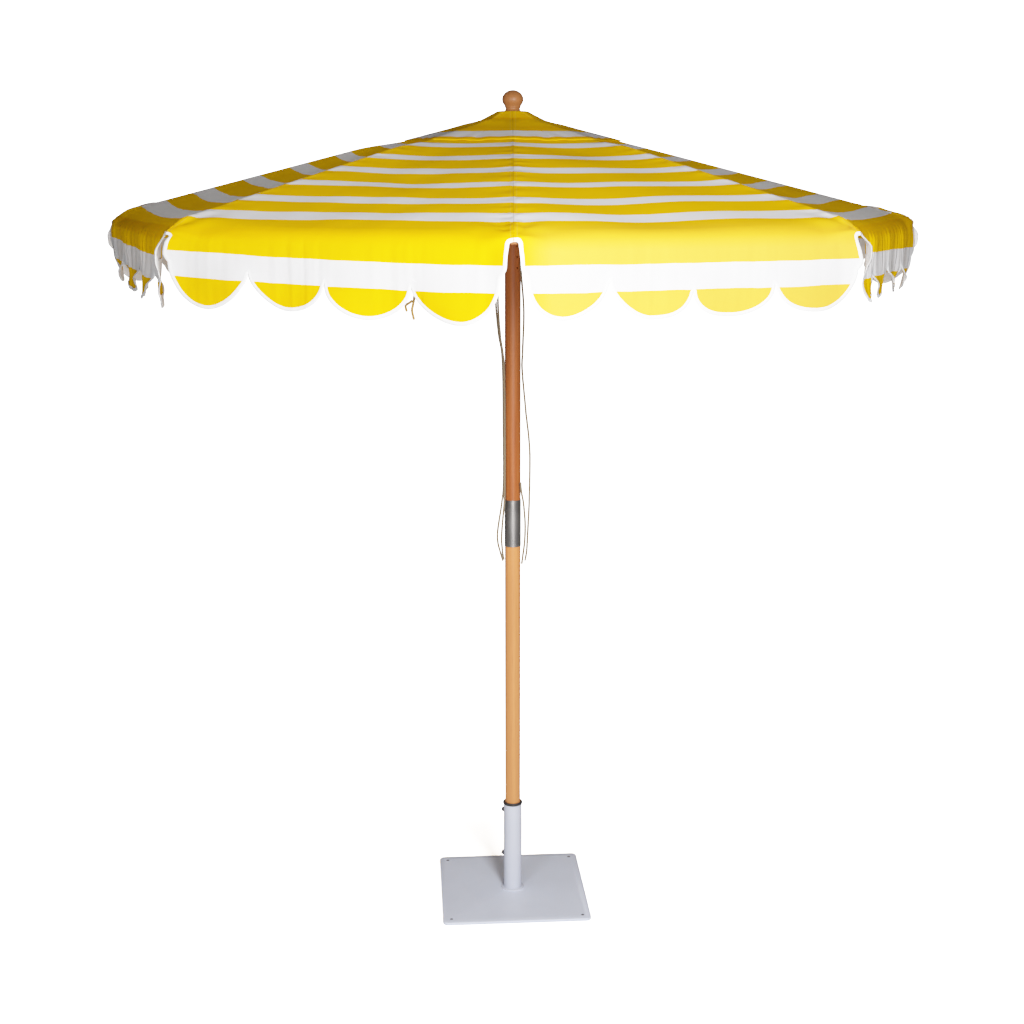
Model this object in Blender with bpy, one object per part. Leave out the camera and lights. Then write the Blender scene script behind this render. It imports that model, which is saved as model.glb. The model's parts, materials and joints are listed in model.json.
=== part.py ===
"""A beach umbrella: a square steel stand, a two-piece wooden mast and an eight-rib canopy.

The mast stands on Z, +Z is up, and the origin is on the floor under it. The first rib points along -Y.
The ribs turn on a wire ring in the top hub. A strut joins each rib to the runner, and as the runner travels
down the mast the ribs fold until they hang beside it. Run it with blender --background --python part.py.
"""

import math

import bmesh
import bpy
from mathutils import Matrix, Vector

# Gap between two parts that fit together, and the chamfer on small turned parts.
FIT_GAP = 0.0003
SMALL_CHAMFER = 0.001

# Canopy frame: eight equal sectors, at rest with the ribs spread.
RIB_COUNT = 8
SECTOR = 2 * math.pi / RIB_COUNT
HALF_SECTOR = SECTOR / 2
FIRST_RIB_TURN = -math.pi / 2
RIB_PITCH = math.radians(14.3)
HINGE_RADIUS = 0.046
HINGE_HEIGHT = 2.6205
RIB_TIP_RADIUS = 1.266
RIB_WIDTH = 0.015
RIB_DEPTH = 0.022
STRUT_LENGTH = 0.56
STRUT_WIDTH = 0.015
STRUT_DEPTH = 0.018
PIVOT_DROP = 0.022
LUG_THICKNESS = 0.005
LUG_RADIUS = 0.007
FORK_GAP = 0.0056
FORK_REACH = 0.017
PIVOT_PIN_RADIUS = 0.0024
PIVOT_HOLE_RADIUS = 0.0028
FOOT_PIN_RADIUS = 0.0018
FOOT_PIN_LENGTH = 0.023

# Top hub and the wire ring that hinges the ribs.
HUB_RADIUS = 0.056
HUB_BOTTOM = 2.592
HUB_TOP = 2.6475
HUB_CHAMFER = 0.009
SLOT_WIDTH = 0.0156
HUB_SLOT_ROOT = 0.0345
WIRE_RADIUS = 0.0016
WIRE_HOLE_RADIUS = 0.002

# Runner.
RUNNER_RADIUS = 0.055
RUNNER_BORE_RADIUS = 0.0266
RUNNER_ABOVE_HINGE = 0.022
RUNNER_BELOW_HINGE = 0.040
RUNNER_SLOT_ROOT = 0.0362
PIN_GROOVE_WIDTH = 0.0242
PIN_GROOVE_HALF = 0.0023

# Lock pin, parked in a bore of the runner between two struts.
LOCK_PIN_RADIUS = 0.0028
LOCK_BORE_RADIUS = 0.0031
LOCK_PIN_START = 0.0335
LOCK_PIN_HEAD_START = 0.0556
LOCK_PIN_HEAD_LENGTH = 0.012
LOCK_PIN_HEAD_RADIUS = 0.0075
LOCK_PIN_DROP = 0.018
LOCK_PIN_TURN = FIRST_RIB_TURN + 1.5 * SECTOR

# Mast.
POLE_RADIUS = 0.026
POLE_LOWER_BOTTOM = 0.0185
POLE_JOINT_HEIGHT = 1.329
POLE_TOP = 2.6465
POLE_GAP = 0.0005
LOCK_HOLE_RADIUS = 0.0036
LOCK_HOLE_TOP = 2.2365
LOCK_HOLE_PITCH = 0.0345
LOCK_HOLE_COUNT = 3
LOCK_HOLE_TURN = FIRST_RIB_TURN + math.radians(35)
JOINER_BOTTOM = 1.250
JOINER_TOP = 1.408
JOINER_BORE_RADIUS = 0.0263
JOINER_RADIUS = 0.0272
JOINER_SCREW_INSET = 0.018
JOINER_SCREW_TURNS = {"upper": math.radians(170), "lower": math.radians(-88)}
JOINER_SCREW_RADIUS = 0.0015
JOINER_SCREW_HOLE_RADIUS = 0.0018
JOINER_SCREW_HEAD_RADIUS = 0.0034
FOOT_CAP_BOTTOM = 0.0135
FOOT_CAP_RADIUS = 0.0258
FOOT_CAP_SPIGOT_RADIUS = 0.007
FOOT_CAP_SPIGOT_TOP = 0.040

# Hoist pulley, let into the mast under the hub.
SHEAVE_HEIGHT = 2.545
SHEAVE_RADIUS = 0.027
SHEAVE_GROOVE_RADIUS = 0.0245
SHEAVE_WIDTH = 0.007
SHEAVE_AXLE_RADIUS = 0.003
SHEAVE_AXLE_LENGTH = 0.020
SHEAVE_SLOT_WIDTH = 0.009
SHEAVE_SLOT_HEIGHT = 0.062

# Finial.
FINIAL_BASE = 2.6515
FINIAL_TOP = 2.7165
FINIAL_BALL_RADIUS = 0.0335
FINIAL_BALL_HALF_HEIGHT = 0.0285
FINIAL_NECK_RADIUS = 0.0222
FINIAL_BASE_RADIUS = 0.0268
SPIGOT_RADIUS = 0.006
SPIGOT_LENGTH = 0.022

# Canopy cloth.
CLOTH = 0.0016
SEAM_GAP = 0.0004
CANOPY_RADIUS = 1.276
CANOPY_EDGE_HEIGHT = 2.321
CANOPY_OPENING_RADIUS = 0.21
CAP_RADIUS = 0.34
CAP_LIFT = 0.0045
CAP_SHOULDER_RADIUS = 0.048
CAP_BREAK_RADIUS = 0.10
CAP_CENTRE_HOLE = 0.0125
CAP_CENTRE_HEIGHT = 2.6505
FOLDED_PANEL_PITCH = math.radians(87.92)
FOLDED_EDGE_CLEARANCE = 0.0145

# Valance: one scalloped strip for each panel.
SCALLOP_COUNT = 4
SCALLOP_DEPTH = 0.207
CUSP_DEPTH = 0.126
END_SCALLOP_TOP = 0.10
END_SCALLOP_CENTRE = 0.128
END_SCALLOP_RADIUS = 0.096
SLIT_HALF_TOP = 0.010
SLIT_KNEE = (0.0175, 0.068)
VALANCE_TOP_GAP = 0.006
ARC_STEPS = 5

# Stand.
BASE_TURN = math.radians(3.9)
PLATE_SIDE = 0.500
PLATE_BOTTOM = 0.0025
PLATE_TOP = 0.0125
PLATE_CORNER_RADIUS = 0.018
PLATE_EDGE_ROUND = 0.0015
PAD_INSET = 0.028
PAD_RADIUS = 0.015
PAD_THICKNESS = 0.0022
PAD_STEM_RADIUS = 0.0055
PAD_HOLE_RADIUS = 0.006
TUBE_RADIUS = 0.031
TUBE_BORE_RADIUS = 0.0292
TUBE_BOTTOM = 0.0128
TUBE_TOP = 0.3275
FLANGE_RADIUS = 0.040
FLANGE_THICKNESS = 0.005
FLANGE_BORE_RADIUS = 0.0313
BUSHING_FLANGE_RADIUS = 0.034
BUSHING_FLANGE_THICKNESS = 0.0085
BUSHING_RADIUS = 0.0289
BUSHING_BORE_RADIUS = 0.0265
BUSHING_BOTTOM = 0.262

# Clamp screws, through nuts welded on the back of the tube.
CLAMP_TURN = math.radians(130)
CLAMP_HEIGHTS = (0.289, 0.126)
NUT_RADIUS = 0.0085
NUT_OUTER_FACE = 0.0355
STUD_RADIUS = 0.004
STUD_HOLE_RADIUS = 0.0043
STUD_END_AT_BUSHING = 0.0292
STUD_END_AT_POLE = 0.0265
STUD_OUTER_END = 0.0465
KNOB_RADIUS = 0.0085
KNOB_START = 0.0396
KNOB_LENGTH = 0.012
KNOB_HOLE_RADIUS = 0.0043
KNOB_LOBES = 6

# Halyard: cord that hangs from the runner beside the mast.
CORD_RADIUS = 0.0022

# Facets round a turned part: the mast and its fittings, mid-size parts and small ones.
ROUND_STEPS = 48
MEDIUM_STEPS = 36
SMALL_STEPS = 14


def clear_scene():
    for obj in list(bpy.data.objects):
        bpy.data.objects.remove(obj, do_unlink=True)


def finish(name, colour, roughness, metallic=0.0):
    """A Principled material of one colour."""
    material = bpy.data.materials.new(name)
    material.use_nodes = True
    shader = material.node_tree.nodes["Principled BSDF"]
    shader.inputs["Base Color"].default_value = (*colour, 1.0)
    shader.inputs["Roughness"].default_value = roughness
    shader.inputs["Metallic"].default_value = metallic
    material.diffuse_color = (*colour, 1.0)
    return material


def made(bm):
    """The bmesh as a mesh with its faces pointing out."""
    bmesh.ops.recalc_face_normals(bm, faces=bm.faces)
    mesh = bpy.data.meshes.new("shape")
    bm.to_mesh(mesh)
    bm.free()
    return mesh


def turned(profile, segments=ROUND_STEPS):
    """A solid turned about Z from a (radius, height) outline, closed or with both ends on the axis."""
    bm = bmesh.new()
    corners = [bm.verts.new((radius, 0, height)) for radius, height in profile]
    edges = [bm.edges.new(pair) for pair in zip(corners, corners[1:])]
    if profile[0][0] > 0:
        edges.append(bm.edges.new((corners[-1], corners[0])))
    bmesh.ops.spin(
        bm,
        geom=corners + edges,
        cent=(0, 0, 0),
        axis=(0, 0, 1),
        angle=2 * math.pi,
        steps=segments,
        use_merge=True,
    )
    bmesh.ops.remove_doubles(bm, verts=bm.verts, dist=1e-6)
    return made(bm)


def prism(outline, thickness):
    """A solid of an outline in the XZ plane, centred on Y."""
    bm = bmesh.new()
    face = bm.faces.new([bm.verts.new((x, -thickness / 2, z)) for x, z in outline])
    extruded = bmesh.ops.extrude_face_region(bm, geom=[face])["geom"]
    far_side = [v for v in extruded if isinstance(v, bmesh.types.BMVert)]
    bmesh.ops.translate(bm, verts=far_side, vec=(0, thickness, 0))
    return made(bm)


def rod(start, end, radius, segments=24):
    """A round bar from one point to another."""
    axis = Vector(end) - Vector(start)
    middle = (Vector(end) + Vector(start)) / 2
    turn = axis.to_track_quat("Z", "Y").to_matrix().to_4x4()
    bm = bmesh.new()
    bmesh.ops.create_cone(
        bm,
        cap_ends=True,
        segments=segments,
        radius1=radius,
        radius2=radius,
        depth=axis.length,
        matrix=Matrix.Translation(middle) @ turn,
    )
    return made(bm)


def block(size, centre):
    """A box of the given size about its centre."""
    bm = bmesh.new()
    bmesh.ops.create_cube(bm, matrix=Matrix.Translation(centre) @ Matrix.Diagonal((*size, 1)))
    return made(bm)


def swept(points, radius, closed=False, sides=2):
    """A round bar along a line of points."""
    curve = bpy.data.curves.new("path", "CURVE")
    curve.dimensions = "3D"
    curve.bevel_depth = radius
    curve.bevel_resolution = sides
    curve.use_fill_caps = True
    spline = curve.splines.new("POLY")
    spline.points.add(len(points) - 1)
    spline.use_cyclic_u = closed
    for point, place_at in zip(spline.points, points):
        point.co = (*place_at, 1)
    carrier = bpy.data.objects.new("path", curve)
    bpy.context.scene.collection.objects.link(carrier)
    mesh = evaluated_mesh(carrier)
    bpy.data.objects.remove(carrier)
    bm = bmesh.new()
    bm.from_mesh(mesh)
    bmesh.ops.remove_doubles(bm, verts=bm.verts, dist=1e-6)
    return made(bm)


def evaluated_mesh(obj):
    """A new mesh of the object with its modifiers applied."""
    graph = bpy.context.evaluated_depsgraph_get()
    return bpy.data.meshes.new_from_object(obj.evaluated_get(graph))


def laid_out(mesh):
    """The mesh turned so that its Z axis lies along +X."""
    mesh.transform(Matrix.Rotation(math.pi / 2, 4, "Y"))
    return mesh


def together(meshes, matrices=None):
    """One mesh that holds all of these, each moved by its matrix."""
    bm = bmesh.new()
    for index, mesh in enumerate(meshes):
        first = len(bm.verts)
        bm.from_mesh(mesh)
        bm.verts.ensure_lookup_table()
        if matrices:
            bmesh.ops.transform(bm, matrix=matrices[index], verts=bm.verts[first:])
    return made(bm)


def around(mesh, start_turn=FIRST_RIB_TURN, count=RIB_COUNT):
    """Copies of a mesh at equal turns about Z."""
    turns = [Matrix.Rotation(start_turn + i * 2 * math.pi / count, 4, "Z") for i in range(count)]
    return together([mesh] * count, turns)


def combined(mesh, tools, operation):
    """The mesh after a Boolean with each tool in turn."""
    body = bpy.data.objects.new("body", mesh)
    bpy.context.scene.collection.objects.link(body)
    cutters = []
    for tool in tools:
        cutter = bpy.data.objects.new("cutter", tool)
        cutter.hide_render = True
        cutter.display_type = "WIRE"
        bpy.context.scene.collection.objects.link(cutter)
        modifier = body.modifiers.new("shape", "BOOLEAN")
        modifier.operation = operation
        modifier.solver = "EXACT"
        modifier.object = cutter
        cutters.append(cutter)
    result = evaluated_mesh(body)
    for helper in [body, *cutters]:
        bpy.data.objects.remove(helper)
    return result


def without(mesh, *tools):
    return combined(mesh, tools, "DIFFERENCE")


def joined(mesh, *tools):
    return combined(mesh, tools, "UNION")


def place(name, mesh, material, location=(0, 0, 0), rotation=(0, 0, 0), parent=None):
    """A named object that shows the mesh, shaded smooth between its sharp edges."""
    if not mesh.materials:
        mesh.materials.append(material)
    mesh.materials[0] = material
    mesh.shade_smooth()
    mesh.set_sharp_from_angle(angle=math.radians(35))
    obj = bpy.data.objects.new(name, mesh)
    obj.location = location
    obj.rotation_euler = rotation
    obj.parent = parent
    bpy.context.scene.collection.objects.link(obj)
    return obj


def empty(name, location=(0, 0, 0), turn=0.0):
    """An empty that carries parts which stand together."""
    obj = bpy.data.objects.new(name, None)
    obj.location = location
    obj.rotation_euler = (0, 0, turn)
    bpy.context.scene.collection.objects.link(obj)
    return obj


def arc(centre_x, centre_z, radius_x, radius_z, start, end, steps):
    """Points along an elliptical arc, angles in degrees, with both ends."""
    points = []
    for i in range(steps + 1):
        angle = math.radians(start + (end - start) * i / steps)
        points.append((centre_x + radius_x * math.cos(angle), centre_z + radius_z * math.sin(angle)))
    return points


def outward(turn, radius, height):
    """The point at this radius and height in the vertical plane at this turn about Z."""
    return Vector((radius * math.cos(turn), radius * math.sin(turn), height))


# Folding linkage, worked out in the vertical plane of one rib.
RIB_LENGTH = (RIB_TIP_RADIUS - HINGE_RADIUS) / math.cos(RIB_PITCH)
PIVOT_ALONG_RIB = math.sqrt(STRUT_LENGTH**2 - PIVOT_DROP**2)
LINK_PITCH = RIB_PITCH + math.atan2(PIVOT_DROP, PIVOT_ALONG_RIB)
PIVOT_RADIUS = HINGE_RADIUS + STRUT_LENGTH * math.cos(LINK_PITCH)
PIVOT_HEIGHT = HINGE_HEIGHT - STRUT_LENGTH * math.sin(LINK_PITCH)
RUNNER_HINGE_HEIGHT = HINGE_HEIGHT - 2 * STRUT_LENGTH * math.sin(LINK_PITCH)
RIB_FOLD = math.pi / 2 - LINK_PITCH
FOLDED_RIB_PITCH = RIB_PITCH + RIB_FOLD

# Panels are flat between two ribs, so the line up the middle of one is steeper than the seams beside it.
SEAM_SLOPE = math.tan(RIB_PITCH)
PANEL_PITCH = math.atan(SEAM_SLOPE / math.cos(HALF_SECTOR))
CREASE_RADIUS = CANOPY_RADIUS * math.cos(HALF_SECTOR)
CREASE_HALF = CANOPY_RADIUS * math.sin(HALF_SECTOR)
PANEL_FOLD = FOLDED_PANEL_PITCH - PANEL_PITCH


def folded_crease():
    """Radius and height of a panel's outer edge in the folded canopy, just outside the rib tips."""
    tip_radius = HINGE_RADIUS + RIB_LENGTH * math.cos(FOLDED_RIB_PITCH)
    tip_height = HINGE_HEIGHT - RIB_LENGTH * math.sin(FOLDED_RIB_PITCH)
    return (tip_radius + FOLDED_EDGE_CLEARANCE) * math.cos(HALF_SECTOR), tip_height


def fold_centre():
    """Radius and height of the line that a panel turns about from open to folded."""
    end_radius, end_height = folded_crease()
    half_turn = PANEL_FOLD / 2
    middle_radius = (CREASE_RADIUS + end_radius) / 2
    middle_height = (CANOPY_EDGE_HEIGHT + end_height) / 2
    radius_travel = end_radius - CREASE_RADIUS
    height_travel = end_height - CANOPY_EDGE_HEIGHT
    reach = 0.5 / math.tan(half_turn)
    return middle_radius + reach * height_travel, middle_height - reach * radius_travel


def rib_turn(index):
    return FIRST_RIB_TURN + index * SECTOR


def rib_mesh():
    """A rib along +X from its hinge, with a lug under it for the strut."""
    half = RIB_DEPTH / 2
    bar_outline = arc(0, 0, half, half, 90, 270, 8)
    bar_outline += [(RIB_LENGTH - 0.004, -half), (RIB_LENGTH, -half + 0.004)]
    bar_outline += [(RIB_LENGTH, half - 0.002), (RIB_LENGTH - 0.002, half)]
    lug_outline = arc(PIVOT_ALONG_RIB, -PIVOT_DROP, LUG_RADIUS, LUG_RADIUS, 180, 360, 10)
    lug_outline += [(PIVOT_ALONG_RIB + LUG_RADIUS + 0.003, -half + 0.002)]
    lug_outline += [(PIVOT_ALONG_RIB - LUG_RADIUS - 0.003, -half + 0.002)]
    bar = joined(prism(bar_outline, RIB_WIDTH), prism(lug_outline, LUG_THICKNESS))
    wire_hole = rod((0, -RIB_WIDTH, 0), (0, RIB_WIDTH, 0), WIRE_HOLE_RADIUS, 16)
    pivot = Vector((PIVOT_ALONG_RIB, 0, -PIVOT_DROP))
    reach = Vector((0, RIB_WIDTH, 0))
    pin_hole = rod(pivot - reach, pivot + reach, PIVOT_HOLE_RADIUS, 16)
    return without(bar, wire_hole, pin_hole)


def strut_mesh():
    """A strut along -X from its fork at the rib to its foot, with the pins at both ends."""
    half = STRUT_DEPTH / 2
    outline = arc(0, 0, half, half, -90, 90, 10) + arc(-STRUT_LENGTH, 0, half, half, 90, 270, 10)
    slot = block((FORK_REACH + 0.02, FORK_GAP, 2 * STRUT_DEPTH), (0.01 - FORK_REACH / 2, 0, 0))
    forked = without(prism(outline, STRUT_WIDTH), slot)
    pin_end = STRUT_WIDTH / 2 - 0.0005
    pin = rod((0, -pin_end, 0), (0, pin_end, 0), PIVOT_PIN_RADIUS, 16)
    foot = (-STRUT_LENGTH, FOOT_PIN_LENGTH / 2, 0)
    foot_pin = rod((foot[0], -foot[1], 0), foot, FOOT_PIN_RADIUS, 12)
    return joined(forked, pin, foot_pin)


def panel_mesh(centre_radius, centre_height):
    """One flat canopy panel about its fold line, from the vent opening to the crease."""

    def edge(seam_radius):
        """Middle radius, half width and height of the panel's level where its seams have this radius."""
        height = CANOPY_EDGE_HEIGHT + (CANOPY_RADIUS - seam_radius) * SEAM_SLOPE
        return seam_radius * math.cos(HALF_SECTOR), seam_radius * math.sin(HALF_SECTOR), height

    bm = bmesh.new()
    corners = []
    for seam_radius in (CANOPY_OPENING_RADIUS, CANOPY_RADIUS):
        radius, half_width, height = edge(seam_radius)
        half_width -= SEAM_GAP / math.cos(HALF_SECTOR)
        for side in (-1, 1):
            corners.append((radius - centre_radius, side * half_width, height - centre_height))
    inner_left, inner_right, outer_left, outer_right = [bm.verts.new(corner) for corner in corners]
    top = bm.faces.new((inner_left, outer_left, outer_right, inner_right))
    under = bmesh.ops.extrude_face_region(bm, geom=[top])["geom"]
    low_side = [v for v in under if isinstance(v, bmesh.types.BMVert)]
    bmesh.ops.translate(bm, verts=low_side, vec=(0, 0, -CLOTH / math.cos(PANEL_PITCH)))
    return made(bm)


def valance_outline():
    """Side view of a valance: (distance along the crease, height over the crease)."""
    pitch = 2 * CREASE_HALF / SCALLOP_COUNT
    rise = SCALLOP_DEPTH - CUSP_DEPTH
    end_rise = SCALLOP_DEPTH - END_SCALLOP_TOP
    end_centre = CREASE_HALF - END_SCALLOP_CENTRE
    end_inner = pitch - END_SCALLOP_CENTRE
    half = [(SLIT_HALF_TOP, VALANCE_TOP_GAP), SLIT_KNEE]
    half = [(CREASE_HALF - inset, -depth) for inset, depth in half]
    half += arc(end_centre, -END_SCALLOP_TOP, END_SCALLOP_RADIUS, end_rise, 0, -90, ARC_STEPS)
    half += arc(end_centre, -CUSP_DEPTH, end_inner, rise, -90, -180, ARC_STEPS)[1:]
    half += arc(pitch / 2, -CUSP_DEPTH, pitch / 2, rise, 0, -180, 2 * ARC_STEPS)[1:]
    mirrored = [(-along, height) for along, height in reversed(half[:-1])]
    return half + mirrored


def valance_mesh():
    """A valance hanging from its crease line, which is its Y axis."""
    upright = prism(valance_outline(), CLOTH)
    upright.transform(Matrix.Rotation(math.pi / 2, 4, "Z"))
    upright.transform(Matrix.Translation((-CLOTH / 2 - 0.0001, 0, 0)))
    return upright


def cap_mesh():
    """The vent cap: an eight-sided shallow cone that drapes over the hub, open in the centre."""

    def seam_height(radius):
        return CANOPY_EDGE_HEIGHT + (CANOPY_RADIUS - radius) * SEAM_SLOPE + CAP_LIFT

    top = [
        (CAP_CENTRE_HOLE, CAP_CENTRE_HEIGHT),
        (CAP_SHOULDER_RADIUS, CAP_CENTRE_HEIGHT),
        (CAP_BREAK_RADIUS, seam_height(CAP_BREAK_RADIUS)),
        (CAP_RADIUS, seam_height(CAP_RADIUS)),
    ]
    under = [(radius, height - CLOTH) for radius, height in reversed(top)]
    return turned(top + under, RIB_COUNT)


def hub_mesh():
    """The top hub: a slotted ring with a tunnel for the hinge wire."""
    ring = turned(
        [
            (POLE_RADIUS + FIT_GAP, HUB_BOTTOM),
            (HUB_RADIUS - 0.003, HUB_BOTTOM),
            (HUB_RADIUS, HUB_BOTTOM + 0.003),
            (HUB_RADIUS, HUB_TOP - HUB_CHAMFER),
            (HUB_RADIUS - HUB_CHAMFER, HUB_TOP),
            (POLE_RADIUS + FIT_GAP, HUB_TOP),
        ]
    )
    slot_length = HUB_RADIUS
    slot = block((slot_length, SLOT_WIDTH, 0.2), (HUB_SLOT_ROOT + slot_length / 2, 0, HINGE_HEIGHT))
    return without(ring, around(slot), wire_ring(WIRE_HOLE_RADIUS))


def wire_ring(radius):
    """An eight-sided ring of round wire, straight across each rib."""
    corner_radius = HINGE_RADIUS / math.cos(HALF_SECTOR)
    corners = [
        outward(rib_turn(i) + HALF_SECTOR, corner_radius, HINGE_HEIGHT) for i in range(RIB_COUNT)
    ]
    return swept(corners, radius, closed=True)


def runner_mesh():
    """The runner: a slotted sleeve with grooves for the struts' foot pins and a bore for the lock pin."""
    bottom = RUNNER_HINGE_HEIGHT - RUNNER_BELOW_HINGE
    top = RUNNER_HINGE_HEIGHT + RUNNER_ABOVE_HINGE
    sleeve = turned(
        [
            (RUNNER_BORE_RADIUS, bottom),
            (RUNNER_RADIUS - 0.004, bottom),
            (RUNNER_RADIUS, bottom + 0.004),
            (RUNNER_RADIUS, top - 0.002),
            (RUNNER_RADIUS - 0.002, top),
            (RUNNER_BORE_RADIUS, top),
        ]
    )
    slot_length = RUNNER_RADIUS
    slot = block(
        (slot_length, SLOT_WIDTH, 0.2), (RUNNER_SLOT_ROOT + slot_length / 2, 0, RUNNER_HINGE_HEIGHT)
    )
    groove_height = RUNNER_BELOW_HINGE + PIN_GROOVE_HALF + 0.01
    groove_centre = RUNNER_HINGE_HEIGHT + PIN_GROOVE_HALF - groove_height / 2
    groove = block((2 * PIN_GROOVE_HALF, PIN_GROOVE_WIDTH, groove_height), (HINGE_RADIUS, 0, groove_centre))
    pin_height = RUNNER_HINGE_HEIGHT - LOCK_PIN_DROP
    lock_bore = rod(
        outward(LOCK_PIN_TURN, LOCK_PIN_START - SMALL_CHAMFER, pin_height),
        outward(LOCK_PIN_TURN, RUNNER_RADIUS + 0.01, pin_height),
        LOCK_BORE_RADIUS,
        20,
    )
    return without(sleeve, around(slot), around(groove), lock_bore)


def lock_pin_mesh():
    """The lock pin along +X, with a rounded head at its outer end."""
    head_end = LOCK_PIN_HEAD_START + LOCK_PIN_HEAD_LENGTH
    profile = [
        (0, LOCK_PIN_START),
        (LOCK_PIN_RADIUS, LOCK_PIN_START),
        (LOCK_PIN_RADIUS, LOCK_PIN_HEAD_START),
        (LOCK_PIN_HEAD_RADIUS - 0.002, LOCK_PIN_HEAD_START),
        (LOCK_PIN_HEAD_RADIUS, LOCK_PIN_HEAD_START + 0.002),
        (LOCK_PIN_HEAD_RADIUS, head_end - 0.003),
        (LOCK_PIN_HEAD_RADIUS - 0.003, head_end),
        (0, head_end),
    ]
    return laid_out(turned(profile, SMALL_STEPS))


def pole_upper_mesh():
    """The upper pole, with the lock holes, the pulley slot and its axle hole, and the finial's socket."""
    pole = turned(
        [
            (0, POLE_JOINT_HEIGHT + POLE_GAP),
            (POLE_RADIUS - SMALL_CHAMFER, POLE_JOINT_HEIGHT + POLE_GAP),
            (POLE_RADIUS, POLE_JOINT_HEIGHT + POLE_GAP + SMALL_CHAMFER),
            (POLE_RADIUS, POLE_TOP),
            (SPIGOT_RADIUS + FIT_GAP, POLE_TOP),
            (SPIGOT_RADIUS + FIT_GAP, POLE_TOP - SPIGOT_LENGTH),
            (0, POLE_TOP - SPIGOT_LENGTH),
        ]
    )
    tools = []
    for i in range(LOCK_HOLE_COUNT):
        height = LOCK_HOLE_TOP - i * LOCK_HOLE_PITCH
        reach = 2 * POLE_RADIUS
        tools.append(
            rod(
                outward(LOCK_HOLE_TURN, -reach, height),
                outward(LOCK_HOLE_TURN, reach, height),
                LOCK_HOLE_RADIUS,
                16,
            )
        )
    slot_size = (4 * POLE_RADIUS, SHEAVE_SLOT_WIDTH, SHEAVE_SLOT_HEIGHT)
    tools.append(block(slot_size, (0, 0, SHEAVE_HEIGHT)))
    axle_reach = 2 * POLE_RADIUS
    tools.append(
        rod(
            (0, -axle_reach, SHEAVE_HEIGHT),
            (0, axle_reach, SHEAVE_HEIGHT),
            SHEAVE_AXLE_RADIUS + 0.0002,
            16,
        )
    )
    return without(pole, together(tools[:-1]), tools[-1])


def pole_lower_mesh():
    """The lower pole, with a socket in its bottom end for the foot cap."""
    top = POLE_JOINT_HEIGHT
    socket = FOOT_CAP_SPIGOT_RADIUS + FIT_GAP
    return turned(
        [
            (0, FOOT_CAP_SPIGOT_TOP + FIT_GAP),
            (socket, FOOT_CAP_SPIGOT_TOP + FIT_GAP),
            (socket, POLE_LOWER_BOTTOM),
            (POLE_RADIUS, POLE_LOWER_BOTTOM),
            (POLE_RADIUS, top - SMALL_CHAMFER),
            (POLE_RADIUS - SMALL_CHAMFER, top),
            (0, top),
        ]
    )


def joiner_mesh():
    """The steel sleeve round both poles, with a hole for each of its two screws."""
    sleeve = turned(
        [
            (JOINER_BORE_RADIUS, JOINER_BOTTOM),
            (JOINER_RADIUS, JOINER_BOTTOM),
            (JOINER_RADIUS, JOINER_TOP),
            (JOINER_BORE_RADIUS, JOINER_TOP),
        ]
    )
    holes = []
    for end, turn in JOINER_SCREW_TURNS.items():
        height = joiner_screw_height(end)
        holes.append(
            rod(
                outward(turn, JOINER_BORE_RADIUS - 0.003, height),
                outward(turn, JOINER_RADIUS + 0.003, height),
                JOINER_SCREW_HOLE_RADIUS,
                12,
            )
        )
    return without(sleeve, together(holes))


def joiner_screw_height(end):
    return JOINER_TOP - JOINER_SCREW_INSET if end == "upper" else JOINER_BOTTOM + JOINER_SCREW_INSET


def joiner_screw_mesh():
    """A small domed screw along +X, its tip just short of the pole."""
    tip = POLE_RADIUS + 0.0002
    face = JOINER_RADIUS + FIT_GAP
    profile = [
        (0, tip),
        (JOINER_SCREW_RADIUS, tip),
        (JOINER_SCREW_RADIUS, face),
        (JOINER_SCREW_HEAD_RADIUS, face),
        (JOINER_SCREW_HEAD_RADIUS, face + 0.0006),
        (JOINER_SCREW_HEAD_RADIUS - SMALL_CHAMFER, face + 0.0015),
        (0, face + 0.0018),
    ]
    return laid_out(turned(profile, SMALL_STEPS))


def foot_cap_mesh():
    """The plastic foot plugged into the bottom end of the lower pole."""
    shoulder = POLE_LOWER_BOTTOM - FIT_GAP
    return turned(
        [
            (0, FOOT_CAP_BOTTOM),
            (FOOT_CAP_RADIUS - SMALL_CHAMFER, FOOT_CAP_BOTTOM),
            (FOOT_CAP_RADIUS, FOOT_CAP_BOTTOM + SMALL_CHAMFER),
            (FOOT_CAP_RADIUS, shoulder),
            (FOOT_CAP_SPIGOT_RADIUS, shoulder),
            (FOOT_CAP_SPIGOT_RADIUS, FOOT_CAP_SPIGOT_TOP),
            (0, FOOT_CAP_SPIGOT_TOP),
        ],
        MEDIUM_STEPS,
    )


def sheave_mesh():
    """The pulley wheel on its axle, which is its Y axis."""
    half = SHEAVE_WIDTH / 2
    axle_half = SHEAVE_AXLE_LENGTH / 2
    profile = [
        (0, -axle_half),
        (SHEAVE_AXLE_RADIUS, -axle_half),
        (SHEAVE_AXLE_RADIUS, -half),
        (SHEAVE_RADIUS, -half),
        (SHEAVE_RADIUS, -half + SMALL_CHAMFER),
        (SHEAVE_GROOVE_RADIUS, -0.0008),
        (SHEAVE_GROOVE_RADIUS, 0.0008),
        (SHEAVE_RADIUS, half - SMALL_CHAMFER),
        (SHEAVE_RADIUS, half),
        (SHEAVE_AXLE_RADIUS, half),
        (SHEAVE_AXLE_RADIUS, axle_half),
        (0, axle_half),
    ]
    mesh = turned(profile, 24)
    mesh.transform(Matrix.Rotation(math.pi / 2, 4, "X"))
    return mesh


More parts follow.
